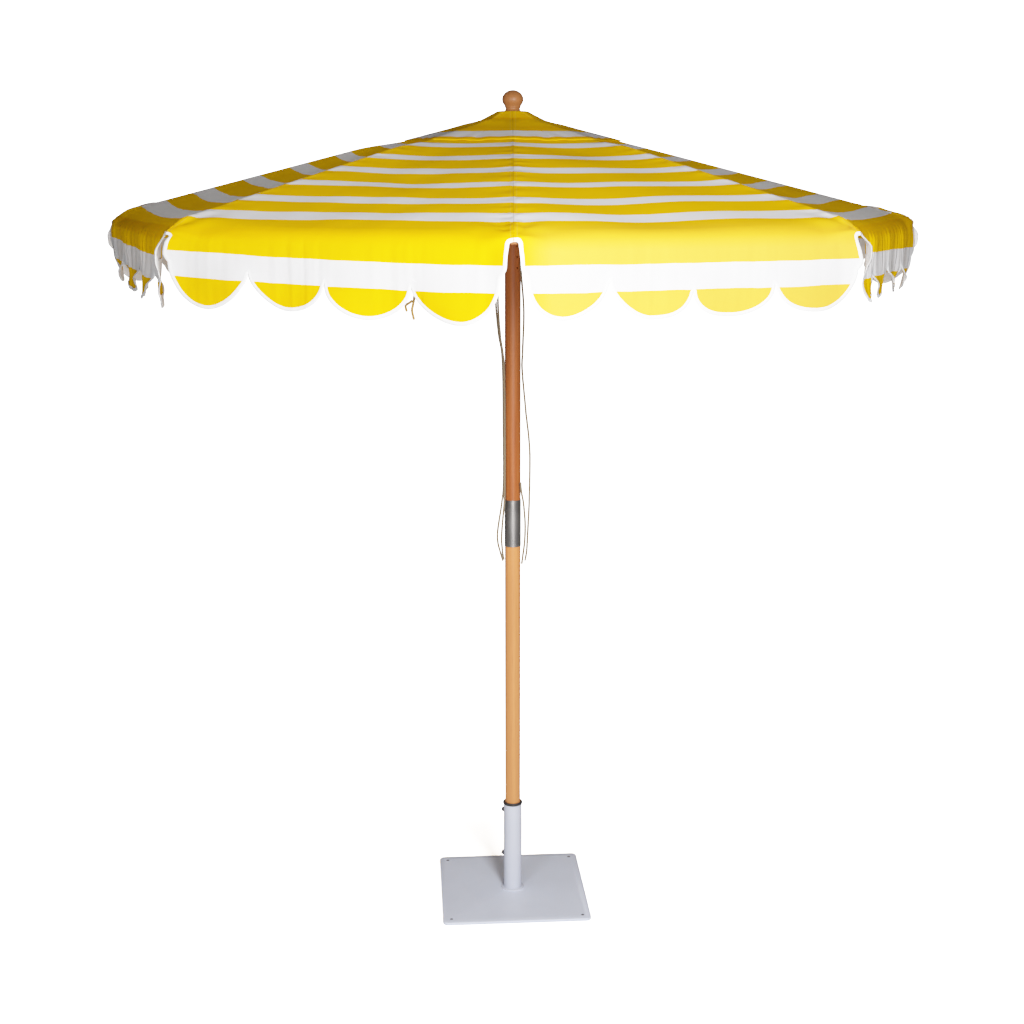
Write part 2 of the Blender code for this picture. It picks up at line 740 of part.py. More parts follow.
def finial_mesh():
    """The turned finial: a flattened ball on a flared neck, with a spigot down into the mast."""
    ball_centre = FINIAL_TOP - FINIAL_BALL_HALF_HEIGHT
    bead = FINIAL_BASE + 0.0115
    profile = [
        (0, FINIAL_BASE - SPIGOT_LENGTH),
        (SPIGOT_RADIUS, FINIAL_BASE - SPIGOT_LENGTH),
        (SPIGOT_RADIUS, FINIAL_BASE),
        (FINIAL_BASE_RADIUS, FINIAL_BASE),
        (FINIAL_BASE_RADIUS - 0.0007, FINIAL_BASE + 0.0015),
        (FINIAL_NECK_RADIUS + 0.0012, FINIAL_BASE + 0.0045),
        (FINIAL_NECK_RADIUS, FINIAL_BASE + 0.0075),
        (FINIAL_NECK_RADIUS + 0.0004, bead - 0.0015),
        (FINIAL_NECK_RADIUS + 0.0016, bead),
        (FINIAL_NECK_RADIUS + 0.0016, bead + SMALL_CHAMFER),
    ]
    profile += arc(0, ball_centre, FINIAL_BALL_RADIUS, FINIAL_BALL_HALF_HEIGHT, -38, 90, 11)
    profile[-1] = (0, FINIAL_TOP)
    return turned(profile, MEDIUM_STEPS)


def plate_mesh():
    """The steel base plate with rounded corners and a hole at each corner for a foot pad."""
    straight = PLATE_SIDE / 2 - PLATE_CORNER_RADIUS
    outline = []
    for corner, (side_x, side_z) in enumerate(((1, 1), (-1, 1), (-1, -1), (1, -1))):
        start = 90 * corner
        outline += arc(
            side_x * straight,
            side_z * straight,
            PLATE_CORNER_RADIUS,
            PLATE_CORNER_RADIUS,
            start,
            start + 90,
            6,
        )
    mesh = prism(outline, PLATE_TOP - PLATE_BOTTOM)
    mesh.transform(Matrix.Rotation(math.pi / 2, 4, "X"))
    mesh.transform(Matrix.Translation((0, 0, (PLATE_TOP + PLATE_BOTTOM) / 2)))
    carrier = bpy.data.objects.new("plate", mesh)
    bpy.context.scene.collection.objects.link(carrier)
    edge_round = carrier.modifiers.new("edge", "BEVEL")
    edge_round.width = PLATE_EDGE_ROUND
    edge_round.segments = 2
    edge_round.angle_limit = math.radians(60)
    rounded = evaluated_mesh(carrier)
    bpy.data.objects.remove(carrier)
    holes = []
    for x, y in pad_places():
        holes.append(rod((x, y, -0.01), (x, y, 0.03), PAD_HOLE_RADIUS, SMALL_STEPS))
    return without(rounded, together(holes))


def pad_places():
    reach = PLATE_SIDE / 2 - PAD_INSET
    return [(side_x * reach, side_y * reach) for side_y in (-1, 1) for side_x in (-1, 1)]


def pad_mesh():
    """A foot pad: a disc under the plate and a plug up through the plate's hole."""
    return turned(
        [
            (0, 0),
            (PAD_RADIUS - SMALL_CHAMFER, 0),
            (PAD_RADIUS, 0.001),
            (PAD_RADIUS, PAD_THICKNESS),
            (PAD_STEM_RADIUS, PAD_THICKNESS),
            (PAD_STEM_RADIUS, PLATE_TOP - 0.0012),
            (PAD_STEM_RADIUS - SMALL_CHAMFER, PLATE_TOP - FIT_GAP),
            (0, PLATE_TOP - FIT_GAP),
        ],
        SMALL_STEPS,
    )


def tube_mesh():
    """The stand's tube, with a welded nut for each clamp screw."""
    tube = turned(
        [
            (TUBE_BORE_RADIUS, TUBE_BOTTOM),
            (TUBE_RADIUS, TUBE_BOTTOM),
            (TUBE_RADIUS, TUBE_TOP - 0.0008),
            (TUBE_RADIUS - 0.0008, TUBE_TOP),
            (TUBE_BORE_RADIUS, TUBE_TOP),
        ]
    )
    nuts = []
    holes = []
    for height in CLAMP_HEIGHTS:
        wall = outward(CLAMP_TURN, TUBE_BORE_RADIUS + 0.0009, height)
        face = outward(CLAMP_TURN, NUT_OUTER_FACE, height)
        nuts.append(rod(wall, face, NUT_RADIUS, 6))
        inside = outward(CLAMP_TURN, TUBE_BORE_RADIUS / 2, height)
        outside = outward(CLAMP_TURN, NUT_OUTER_FACE + 0.01, height)
        holes.append(rod(inside, outside, STUD_HOLE_RADIUS, 20))
    return without(joined(tube, together(nuts)), together(holes))


def flange_mesh():
    """The weld collar at the tube's foot."""
    bottom = PLATE_TOP + FIT_GAP
    return turned(
        [
            (FLANGE_BORE_RADIUS, bottom),
            (FLANGE_RADIUS, bottom),
            (FLANGE_RADIUS - 0.0015, bottom + 0.0022),
            (FLANGE_BORE_RADIUS + SMALL_CHAMFER, bottom + FLANGE_THICKNESS),
            (FLANGE_BORE_RADIUS, bottom + FLANGE_THICKNESS),
        ],
        MEDIUM_STEPS,
    )


def bushing_mesh():
    """The plastic bushing that centres the mast in the tube."""
    seat = TUBE_TOP + FIT_GAP
    top = seat + BUSHING_FLANGE_THICKNESS
    return turned(
        [
            (BUSHING_BORE_RADIUS, BUSHING_BOTTOM),
            (BUSHING_RADIUS, BUSHING_BOTTOM),
            (BUSHING_RADIUS, seat),
            (BUSHING_FLANGE_RADIUS - 0.0015, seat),
            (BUSHING_FLANGE_RADIUS, seat + 0.0015),
            (BUSHING_FLANGE_RADIUS, top - 0.003),
            (BUSHING_FLANGE_RADIUS - 0.003, top),
            (BUSHING_BORE_RADIUS + SMALL_CHAMFER, top),
            (BUSHING_BORE_RADIUS, top - SMALL_CHAMFER),
        ],
        MEDIUM_STEPS,
    )


def stud_mesh(inner_end):
    """A clamp stud along +X, with a chamfered tip."""
    profile = [
        (0, inner_end),
        (STUD_RADIUS - 0.0012, inner_end),
        (STUD_RADIUS, inner_end + 0.0012),
        (STUD_RADIUS, STUD_OUTER_END),
        (0, STUD_OUTER_END),
    ]
    return laid_out(turned(profile, SMALL_STEPS))


def knob_mesh():
    """A lobed clamp knob along +X, with a socket for the stud."""
    ring = []
    steps = 4 * KNOB_LOBES
    for i in range(steps):
        angle = 2 * math.pi * i / steps
        radius = KNOB_RADIUS - 0.0008 * (1 - math.cos(KNOB_LOBES * angle)) / 2
        ring.append((radius * math.cos(angle), radius * math.sin(angle)))
    body = prism(ring, KNOB_LENGTH)
    body.transform(Matrix.Rotation(math.pi / 2, 4, "Z"))
    body.transform(Matrix.Translation((KNOB_START + KNOB_LENGTH / 2, 0, 0)))
    socket = rod((KNOB_START - 0.01, 0, 0), (STUD_OUTER_END + 0.0004, 0, 0), KNOB_HOLE_RADIUS, 20)
    return without(body, socket)


def cord_mesh(waypoints):
    """A hanging cord through (x, y, height) waypoints, rounded where it bends."""
    points = [Vector(point) for point in waypoints]
    path = [points[0]]
    for before, here, after in zip(points, points[1:], points[2:]):
        for share in (0.2, 0.5, 0.8):
            start = before.lerp(here, 0.5)
            end = here.lerp(after, 0.5)
            path.append(start.lerp(here, share).lerp(here.lerp(end, share), share))
    path.append(points[-1])
    return swept(path, CORD_RADIUS, sides=1)


def build_stand(materials):
    stand = empty("stand", turn=BASE_TURN)
    place("base_plate", plate_mesh(), materials["painted_steel"], parent=stand)
    place("base_flange", flange_mesh(), materials["painted_steel"], parent=stand)
    pad = pad_mesh()
    for number, (x, y) in enumerate(pad_places(), 1):
        place(f"foot_pad_{number}", pad, materials["black_plastic"], (x, y, 0), parent=stand)
    place("base_tube", tube_mesh(), materials["painted_steel"])
    place("base_bushing", bushing_mesh(), materials["black_plastic"])
    knob = knob_mesh()
    inner_ends = (STUD_END_AT_BUSHING, STUD_END_AT_POLE)
    for number, (height, inner_end) in enumerate(zip(CLAMP_HEIGHTS, inner_ends), 1):
        axis = empty(f"clamp_axis_{number}", (0, 0, height), CLAMP_TURN)
        place(f"clamp_stud_{number}", stud_mesh(inner_end), materials["zinc"], parent=axis)
        place(f"clamp_knob_{number}", knob, materials["black_plastic"], parent=axis)


def build_mast(materials):
    place("pole_lower", pole_lower_mesh(), materials["light_wood"])
    place("pole_foot_cap", foot_cap_mesh(), materials["black_plastic"])
    place("pole_upper", pole_upper_mesh(), materials["dark_wood"])
    place("pole_joiner", joiner_mesh(), materials["brushed_steel"])
    screw = joiner_screw_mesh()
    for end, turn in JOINER_SCREW_TURNS.items():
        place(
            f"joiner_screw_{end}",
            screw,
            materials["zinc"],
            (0, 0, joiner_screw_height(end)),
            (0, 0, turn),
        )
    place("top_hub", hub_mesh(), materials["dark_wood"])
    place("hub_wire", wire_ring(WIRE_RADIUS), materials["zinc"])
    place("finial", finial_mesh(), materials["light_wood"])
    place("sheave", sheave_mesh(), materials["zinc"], (0, 0, SHEAVE_HEIGHT))


def build_runner(materials):
    place("runner", runner_mesh(), materials["dark_wood"])
    height = RUNNER_HINGE_HEIGHT - LOCK_PIN_DROP
    place("lock_pin", lock_pin_mesh(), materials["zinc"], (0, 0, height), (0, 0, LOCK_PIN_TURN))
    start = RUNNER_HINGE_HEIGHT - RUNNER_BELOW_HINGE - 0.0005
    left = [
        (-0.047, -0.014, start),
        (-0.056, -0.012, start - 0.16),
        (-0.030, -0.008, start - 0.40),
        (-0.0285, -0.006, start - 0.80),
        (-0.047, -0.006, start - 0.95),
        (-0.029, -0.004, start - 1.06),
    ]
    right = [
        (0.0445, -0.018, start),
        (0.030, -0.010, start - 0.10),
        (0.036, -0.010, start - 0.24),
        (0.031, -0.010, start - 0.42),
        (0.056, -0.010, start - 0.70),
        (0.055, -0.008, start - 0.86),
        (0.047, -0.006, start - 1.04),
    ]
    place("rope_left", cord_mesh(left), materials["cord"])
    place("rope_right", cord_mesh(right), materials["cord"])


def build_canopy(materials):
    rib = rib_mesh()
    strut = strut_mesh()
    centre_radius, centre_height = fold_centre()
    panel = panel_mesh(centre_radius, centre_height)
    valance = valance_mesh()
    for index in range(RIB_COUNT):
        number = index + 1
        turn = rib_turn(index)
        middle = turn + HALF_SECTOR
        hinge = outward(turn, HINGE_RADIUS, HINGE_HEIGHT)
        pivot = outward(turn, PIVOT_RADIUS, PIVOT_HEIGHT)
        place(f"rib_{number}", rib, materials["dark_wood"], hinge, (0, RIB_PITCH, turn))
        place(f"strut_{number}", strut, materials["dark_wood"], pivot, (0, -LINK_PITCH, turn))
        fold_line = outward(middle, centre_radius, centre_height)
        crease = outward(middle, CREASE_RADIUS, CANOPY_EDGE_HEIGHT)
        place(f"canopy_panel_{number}", panel, materials["cloth"], fold_line, (0, 0, middle))
        place(f"valance_{number}", valance, materials["cloth"], crease, (0, 0, middle))
    place("vent_cap", cap_mesh(), materials["cloth"], rotation=(0, 0, FIRST_RIB_TURN))


def build():
    clear_scene()
    materials = {
        "painted_steel": finish("painted_steel", (0.62, 0.64, 0.68), 0.45),
        "black_plastic": finish("black_plastic", (0.02, 0.02, 0.022), 0.5),
        "light_wood": finish("light_wood", (0.76, 0.43, 0.20), 0.45),
        "dark_wood": finish("dark_wood", (0.45, 0.17, 0.06), 0.45),
        "brushed_steel": finish("brushed_steel", (0.55, 0.56, 0.58), 0.3, 1.0),
        "zinc": finish("zinc", (0.5, 0.5, 0.52), 0.35, 1.0),
        "cord": finish("cord", (0.36, 0.28, 0.17), 0.9),
        "cloth": finish("cloth", (0.95, 0.70, 0.01), 0.85),
    }
    build_stand(materials)
    build_mast(materials)
    build_runner(materials)
    build_canopy(materials)


build()
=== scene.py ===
import json
import math

import bmesh
import bpy
import numpy as np
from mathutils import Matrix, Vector


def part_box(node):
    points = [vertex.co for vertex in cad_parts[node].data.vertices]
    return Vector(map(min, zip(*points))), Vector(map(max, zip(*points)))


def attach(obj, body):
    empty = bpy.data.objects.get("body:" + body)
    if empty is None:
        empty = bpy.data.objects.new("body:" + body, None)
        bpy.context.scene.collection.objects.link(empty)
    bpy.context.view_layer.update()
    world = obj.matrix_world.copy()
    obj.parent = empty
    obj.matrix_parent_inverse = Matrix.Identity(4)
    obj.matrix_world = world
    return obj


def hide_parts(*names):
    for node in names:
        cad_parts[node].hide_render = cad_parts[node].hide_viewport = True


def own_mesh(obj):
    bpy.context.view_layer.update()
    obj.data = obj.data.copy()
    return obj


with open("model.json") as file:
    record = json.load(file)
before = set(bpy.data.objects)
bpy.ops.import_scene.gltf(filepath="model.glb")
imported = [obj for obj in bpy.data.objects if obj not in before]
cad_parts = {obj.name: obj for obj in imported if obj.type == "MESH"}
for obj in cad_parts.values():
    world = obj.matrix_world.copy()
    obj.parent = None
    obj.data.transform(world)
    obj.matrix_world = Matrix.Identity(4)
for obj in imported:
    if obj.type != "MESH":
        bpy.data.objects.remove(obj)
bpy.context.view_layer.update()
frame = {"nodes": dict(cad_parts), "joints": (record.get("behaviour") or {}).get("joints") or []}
NODES = frame["nodes"]
JOINTS = {joint["name"]: joint for joint in frame["joints"]}

# ---------------------------------------------------------------------------
# Sizes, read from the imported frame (metres, +Z up, first rib along -Y)
# ---------------------------------------------------------------------------
SECTORS = 8
HALF = math.pi / SECTORS
CH, SH = math.cos(HALF), math.sin(HALF)
CREASE = Vector(JOINTS["valance_fold_1"]["pos_m"])
HINGE = Vector(JOINTS["rib_hinge_1"]["pos_m"])
CORNER = math.hypot(CREASE.x, CREASE.y) / CH  # seam radius of the canopy's corners
EDGE_Z = CREASE.z
RIB_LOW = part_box("rib_1")[0]
RUNNER_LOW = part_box("runner")[0].z
CLOTH_OVER_HINGE = 0.0140
SLOPE = (HINGE.z + CLOTH_OVER_HINGE - EDGE_Z) / (CORNER + HINGE.y)
PITCH = math.atan(SLOPE / CH)
CREASE_HALF = CORNER * SH
OPENING = 0.19
DROP = EDGE_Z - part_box("valance_1")[0].z  # depth of a full scallop
CAP_R = 0.34
CAP_LIFT = 0.0045
TINY = 1e-9  # keeps a sign or a length from being exactly 0


def rib_turn(k):
    return -math.pi / 2 + (k - 1) * 2 * HALF


def mid_turn(k):
    return rib_turn(k) + HALF


def axes(turn):
    """Unit vectors outward at a heading, and to its side."""
    out = np.array([math.cos(turn), math.sin(turn), 0.0])
    side = np.array([-math.sin(turn), math.cos(turn), 0.0])
    return out, side


def smooth(x, lo, hi):
    t = np.clip((np.asarray(x, float) - lo) / (hi - lo), 0, 1)
    return t * t * (3 - 2 * t)


# ---------------------------------------------------------------------------
# Materials
# ---------------------------------------------------------------------------
def grey(value):
    return (value, value, value)


class Shader:
    """A node material built in code: add() makes a node and wires its inputs."""

    def __init__(self, name):
        self.material = bpy.data.materials.new(name)
        self.material.use_nodes = True
        self.tree = self.material.node_tree
        self.tree.nodes.clear()
        self.out = self.tree.nodes.new("ShaderNodeOutputMaterial")

    def add(self, kind, inputs=None, out=0, **settings):
        node = self.tree.nodes.new("ShaderNode" + kind)
        for key, value in settings.items():
            setattr(node, key, value)
        for key, value in (inputs or {}).items():
            self.wire(node.inputs[key], value)
        return node.outputs[out]

    def wire(self, socket, value):
        if isinstance(value, bpy.types.NodeSocket):
            self.tree.links.new(value, socket)
        elif isinstance(value, tuple) and len(value) == 3 and socket.type == "RGBA":
            socket.default_value = (*value, 1)
        else:
            socket.default_value = value

    def cloth_place(self):
        """The "cloth" attribute of a mesh made by Cloth."""
        return self.add("Attribute", attribute_name="cloth", out=1)

    def object_place(self):
        return self.add("TexCoord", out=3)

    def split(self, vector):
        node = self.tree.nodes.new("ShaderNodeSeparateXYZ")
        self.wire(node.inputs[0], vector)
        return node.outputs

    def maths(self, operation, a, b=0.0, c=0.0, clamp=False):
        return self.add("Math", {0: a, 1: b, 2: c}, operation=operation, use_clamp=clamp)

    def plus(self, a, b):
        return self.maths("ADD", a, b)

    def minus(self, a, b):
        return self.maths("SUBTRACT", a, b)

    def times(self, a, b, clamp=False):
        return self.maths("MULTIPLY", a, b, clamp=clamp)

    def below(self, a, b):
        return self.maths("LESS_THAN", a, b)

    def noise(self, vector, scale, detail=3.0, rough=0.55):
        inputs = {"Vector": vector, "Scale": scale, "Detail": detail, "Roughness": rough}
        return self.add("TexNoise", inputs)

    def stretch(self, vector, scale, turn=(0, 0, 0)):
        return self.add("Mapping", {"Vector": vector, "Scale": scale, "Rotation": turn})

    def ramp(self, fac, stops, interpolation="LINEAR"):
        node = self.tree.nodes.new("ShaderNodeValToRGB")
        ramp = node.color_ramp
        ramp.interpolation = interpolation
        while len(ramp.elements) > 1:
            ramp.elements.remove(ramp.elements[-1])
        ramp.elements[0].position = stops[0][0]
        ramp.elements[0].color = (*stops[0][1], 1)
        for position, colour in stops[1:]:
            ramp.elements.new(position).color = (*colour, 1)
        self.wire(node.inputs[0], fac)
        return node.outputs[0]

    def mix(self, fac, a, b, blend="MIX"):
        node = self.tree.nodes.new("ShaderNodeMix")
        node.data_type = "RGBA"
        node.blend_type = blend
        self.wire(node.inputs[0], fac)
        self.wire(node.inputs[6], a)
        self.wire(node.inputs[7], b)
        return node.outputs[2]

    def mottle(self, colour, fac, dark, span=(0.3, 0.7), amount=1.0):
        """The colour, darkened where fac is below the span's end."""
        mask = self.ramp(fac, [(span[0], grey(dark)), (span[1], grey(1.0))])
        return self.mix(amount, colour, mask, "MULTIPLY")

    def bump(self, height, strength, distance, normal=None):
        inputs = {"Height": height, "Strength": strength, "Distance": distance}
        if normal is not None:
            inputs["Normal"] = normal
        return self.add("Bump", inputs)

    def principled(self, colour, rough, normal, more=None):
        inputs = {"Base Color": colour, "Roughness": rough, "Normal": normal}
        return self.add("BsdfPrincipled", {**inputs, **(more or {})})

    def finish(self, surface):
        self.tree.links.new(surface, self.out.inputs["Surface"])
        return self.material


YELLOW = (0.90, 0.50, 0.001)
# A paler yellow for the most brightly lit cloth: painted highlight
PAINTED_HIGHLIGHT_YELLOW = (0.90, 0.52, 0.055)
YELLOW_THROUGH = (1.0, 0.50, 0.0)
WHITE = (0.84, 0.84, 0.86)
WHITE_THROUGH = (0.86, 0.83, 0.78)
SEAM_SHADE = (0.16, 0.09, 0.01)
THREAD = (0.80, 0.66, 0.30)
# White bands: (start, end) in seam radius on the panels and the cap, and in depth on the valances
PANEL_BANDS = (
    (0.239, 0.286),
    (0.369, 0.411),
    (0.514, 0.553),
    (0.650, 0.697),
    (0.793, 0.842),
    (0.941, 0.996),
    (1.093, 1.160),
)
SIDE_BANDS = tuple((start - 0.004, end + 0.005) for start, end in PANEL_BANDS)
CAP_BANDS = ((0.241, 0.310),)
VALANCE_BANDS = ((0.069, 0.135),)
SPAN = 1.4  # longest distance that the bands' ramp covers
BAND_WOBBLE = 0.006
WEAVE_RATE = 2600.0  # radians per metre
# Seams: half widths of the dark line, the folded cloth and the thread, and the row of stitches
SEAM_LINE, SEAM_FOLD, THREAD_HALF = 0.0012, 0.011, 0.0006
STITCH_ROW, STITCH_RATE, STITCH_SHARE = 0.008, 250.0, 0.62
# The painted highlight's pale area starts this far from the slit, and is full after 1/11 m
PAINTED_HIGHLIGHT_START, PAINTED_HIGHLIGHT_RATE = 0.01, 11.0


def canvas(name, bands, seams=True, painted_highlight=None):
    """Woven awning canvas with white bands; its "cloth" attribute is (across, along, from the seam).

    Its last argument is a painted highlight: where the yellow starts to pale along the cloth, and
    how fast it does."""
    s = Shader(name)
    place = s.cloth_place()
    across, along, from_seam = s.split(place)
    wobble = s.times(s.minus(s.noise(place, 9.0, 2.0), 0.5), BAND_WOBBLE)
    band = s.maths("DIVIDE", s.plus(along, wobble), SPAN)
    stops = [(0.0, grey(0.0))]
    for start, end in bands:
        stops += [(start / SPAN, grey(1.0)), (end / SPAN, grey(0.0))]
    white = s.ramp(band, stops, "CONSTANT")
    yellow = YELLOW
    # Painted highlight: the yellow pales away from the low-w slit and further down the cloth, where
    # the light falls brightest
    if painted_highlight:
        start, rate = painted_highlight
        from_slit = s.times(s.plus(across, CREASE_HALF - PAINTED_HIGHLIGHT_START), PAINTED_HIGHLIGHT_RATE, clamp=True)
        lower = s.times(s.minus(along, start), rate, clamp=True)
        yellow = s.mix(s.times(lower, from_slit), YELLOW, PAINTED_HIGHLIGHT_YELLOW)
    colour = s.mix(white, yellow, WHITE)
    through = s.mix(white, YELLOW_THROUGH, WHITE_THROUGH)
    colour = s.mottle(colour, s.noise(place, 5.0, 4.0), 0.93)
    slub = s.noise(s.stretch(place, (60, 900, 1)), 1.0, 2.0)
    colour = s.mottle(colour, slub, 0.96)
    warp, weft = (s.maths("SINE", s.times(way, WEAVE_RATE)) for way in (across, along))
    weave = s.times(warp, weft)
    normal = s.bump(s.plus(s.times(weave, 0.3), slub), 0.25, 0.0006)
    creases = s.noise(s.stretch(place, (26, 9, 1), (0, 0, 0.5)), 1.0, 3.0)
    normal = s.bump(creases, 0.16, 0.006, normal)
    if seams:
        colour = s.mix(s.times(s.below(from_seam, SEAM_LINE), 0.30), colour, SEAM_SHADE)
        normal = s.bump(s.below(from_seam, SEAM_FOLD), 0.35, 0.0010, normal)
        on_row = s.below(s.maths("ABSOLUTE", s.minus(from_seam, STITCH_ROW)), THREAD_HALF)
        dash = s.below(s.maths("FRACT", s.times(along, STITCH_RATE)), STITCH_SHARE)
        colour = s.mix(s.times(s.times(on_row, dash), 0.18), colour, THREAD)
    rough = s.maths("MULTIPLY_ADD", slub, 0.12, 0.82)
    body = s.principled(colour, rough, normal, {"Specular IOR Level": 0.03})
    light = s.add("BsdfTranslucent", {"Color": through, "Normal": normal})
    return s.finish(s.add("MixShader", {0: 0.22, 1: body, 2: light}))


def white_tape():
    """White bias binding with a fine rib along it."""
    s = Shader("white_binding")
    ribs = s.noise(s.stretch(s.cloth_place(), (300, 300, 40)), 1.0, 2.0)
    colour = s.ramp(ribs, [(0.3, grey(0.78)), (0.7, (0.88, 0.88, 0.89))])
    body = s.principled(colour, 0.8, s.bump(ribs, 0.3, 0.0008), {"Sheen Weight": 0.1})
    light = s.add("BsdfTranslucent", {"Color": (0.85, 0.84, 0.8)})
    return s.finish(s.add("MixShader", {0: 0.12, 1: body, 2: light}))


def wood(name, pale, dark, turn=(0, 0, 0), gloss=0.42, streak=1.0):
    """Varnished timber: long grain along Z after the turn, pores, and growth bands."""
    s = Shader(name)
    grain_space = s.add("Mapping", {"Vector": s.object_place(), "Rotation": turn})
    long_grain = s.noise(s.stretch(grain_space, (90, 90, 2.2)), 1.0, 5.0, 0.6)
    bands = s.noise(s.stretch(grain_space, (28, 28, 0.9)), 1.0, 2.0)
    pores = s.noise(s.stretch(grain_space, (520, 520, 9)), 1.0, 2.0, 0.7)
    patches = s.noise(s.stretch(grain_space, (3, 3, 1.4)), 1.0, 1.0)
    tone = s.plus(s.times(long_grain, 0.6), s.times(bands, 0.4))
    spread = 0.18 / streak
    colour = s.ramp(tone, [(0.5 - spread, dark), (0.5 + spread, pale)])
    colour = s.mottle(colour, pores, 0.72, (0.30, 0.44), 0.6)
    colour = s.mottle(colour, patches, 0.9)
    normal = s.bump(long_grain, 0.12, 0.0012, s.bump(pores, 0.12, 0.0006))
    rough = s.maths("MULTIPLY_ADD", pores, 0.14, gloss - 0.06)
    varnish = {"Specular IOR Level": 0.3, "Coat Weight": 0.04, "Coat Roughness": 0.3}
    return s.finish(s.principled(colour, rough, normal, varnish))


def painted_steel(name, colour, edge):
    """Powder coat with orange-peel texture and faint scuffs."""
    s = Shader(name)
    place = s.object_place()
    cloudy = s.noise(place, 6.0, 4.0)
    bright = tuple(min(1, c * 1.05) for c in colour)
    base = s.ramp(cloudy, [(0.35, colour), (0.7, bright)])
    scuff = s.noise(s.stretch(place, (14, 80, 14), (0.2, 0.3, 0.7)), 1.0, 5.0, 0.75)
    mask = s.ramp(scuff, [(0.66, grey(0.0)), (0.76, grey(1.0))])
    base = s.mix(s.times(mask, 0.35), base, edge)
    rough = s.maths("MULTIPLY_ADD", cloudy, 0.16, 0.36)
    peel = s.bump(s.noise(place, 420.0, 2.0), 0.14, 0.0006)
    return s.finish(s.principled(base, rough, peel, {"Specular IOR Level": 0.5}))


def bare_steel(name, colour, rough):
    """Brushed or plated metal: fine lines round the part, and smudges."""
    s = Shader(name)
    place = s.object_place()
    lines = s.noise(s.stretch(place, (30, 30, 900)), 1.0, 3.0, 0.7)
    smudge = s.noise(place, 22.0, 4.0)
    worn = s.plus(s.times(lines, 0.5), s.times(smudge, 0.5))
    tone = s.ramp(worn, [(0.3, tuple(c * 0.72 for c in colour)), (0.7, colour)])
    rough = s.maths("MULTIPLY_ADD", smudge, 0.22, rough - 0.1)
    return s.finish(s.principled(tone, rough, s.bump(lines, 0.15, 0.0004), {"Metallic": 1.0}))


def moulded(name, colour):
    """Moulded plastic with a fine spark-eroded texture and dusty patches."""
    s = Shader(name)
    place = s.object_place()
    dust = s.noise(place, 30.0, 4.0)
    base = s.ramp(dust, [(0.45, colour), (0.8, tuple(min(1, c + 0.035) for c in colour))])
    normal = s.bump(s.noise(place, 900.0, 2.0), 0.3, 0.0004)
    return s.finish(s.principled(base, s.maths("MULTIPLY_ADD", dust, 0.2, 0.4), normal))


def cord_material(name, pale, dark):
    """Twisted cord with strands that wind round; its "cloth" attribute is (along, round)."""
    s = Shader(name)
    place = s.cloth_place()
    along, around, _ = s.split(place)
    phase = s.plus(s.times(along, 900.0), s.times(around, 3.0))
    strand = s.maths("ABSOLUTE", s.maths("SINE", phase))
    fuzz = s.noise(s.stretch(place, (700, 3, 1)), 1.0, 3.0)
    tone = s.plus(s.times(strand, 0.6), s.times(fuzz, 0.4))
    colour = s.ramp(tone, [(0.15, dark), (0.8, pale)])
    return s.finish(s.principled(colour, 0.85, s.bump(tone, 0.7, 0.0012), {"Sheen Weight": 0.2}))


PANEL_CANVAS = canvas("canopy_canvas", PANEL_BANDS)
SIDE_CANVAS = canvas("side_panel_canvas", SIDE_BANDS)
CAP_CANVAS = canvas("cap_canvas", CAP_BANDS)
VALANCE_CANVAS = canvas("valance_canvas", VALANCE_BANDS, seams=False)
# Panel 1 and valance 1, at the front right, carry a painted highlight that pales their yellow
PAINTED_HIGHLIGHT_PANEL = canvas("painted_highlight_panel_canvas", PANEL_BANDS, painted_highlight=(CORNER - 0.11, 4.2))
PAINTED_HIGHLIGHT_VALANCE = canvas("painted_highlight_valance_canvas", VALANCE_BANDS, seams=False, painted_highlight=(-0.033, 14.0))
POCKET_CANVAS = canvas("pocket_canvas", (), seams=False)
BINDING = white_tape()
CORD = cord_material("cord_twist", (0.27, 0.205, 0.125), (0.11, 0.078, 0.042))
# Dark golden brown: painted shade, for yellow cloth in shadow behind the front left valance
SHADED_TIE_TAPE = cord_material("shaded_tie_tape", (0.22, 0.115, 0.012), (0.15, 0.078, 0.008))
RED_WOOD = wood("stained_beech", (0.48, 0.140, 0.034), (0.28, 0.064, 0.012))
PALE_WOOD = wood("natural_beech", (0.78, 0.315, 0.105), (0.60, 0.215, 0.065), streak=0.8)
KNOB_WOOD = wood("finial_beech", (0.36, 0.132, 0.040), (0.27, 0.092, 0.026), gloss=0.45)
COAT = painted_steel("white_powder_coat", (0.60, 0.63, 0.74), (0.40, 0.41, 0.44))
# Paler than the tube's coat, to make up for the little light that reaches the plate's top: painted
# light
PLATE_COAT = painted_steel("plate_powder_coat", (0.73, 0.785, 0.94), (0.46, 0.47, 0.50))
SLEEVE = bare_steel("brushed_sleeve", (0.335, 0.322, 0.315), 0.42)
ZINC = bare_steel("zinc_plate", (0.50, 0.50, 0.51), 0.40)
PLASTIC = moulded("black_plastic", (0.018, 0.018, 0.020))
PAD_PLASTIC = moulded("pad_plastic", (0.10, 0.10, 0.11))


# ---------------------------------------------------------------------------
# Frame nodes: smooth shading and materials
# ---------------------------------------------------------------------------
WELD_REACH = 0.00001
SHARP_ANGLE = 35


def dress(node, material):
    """A material and clean smooth shading on a node, whose mesh stays as it is."""
    obj = NODES[node]
    obj.data.materials.clear()
    obj.data.materials.append(material)
    obj.data.shade_smooth()
    weld = obj.modifiers.new("weld", "WELD")
    weld.merge_threshold = WELD_REACH
    split = obj.modifiers.new("edges", "EDGE_SPLIT")
    split.split_angle = math.radians(SHARP_ANGLE)
    split.use_edge_sharp = False


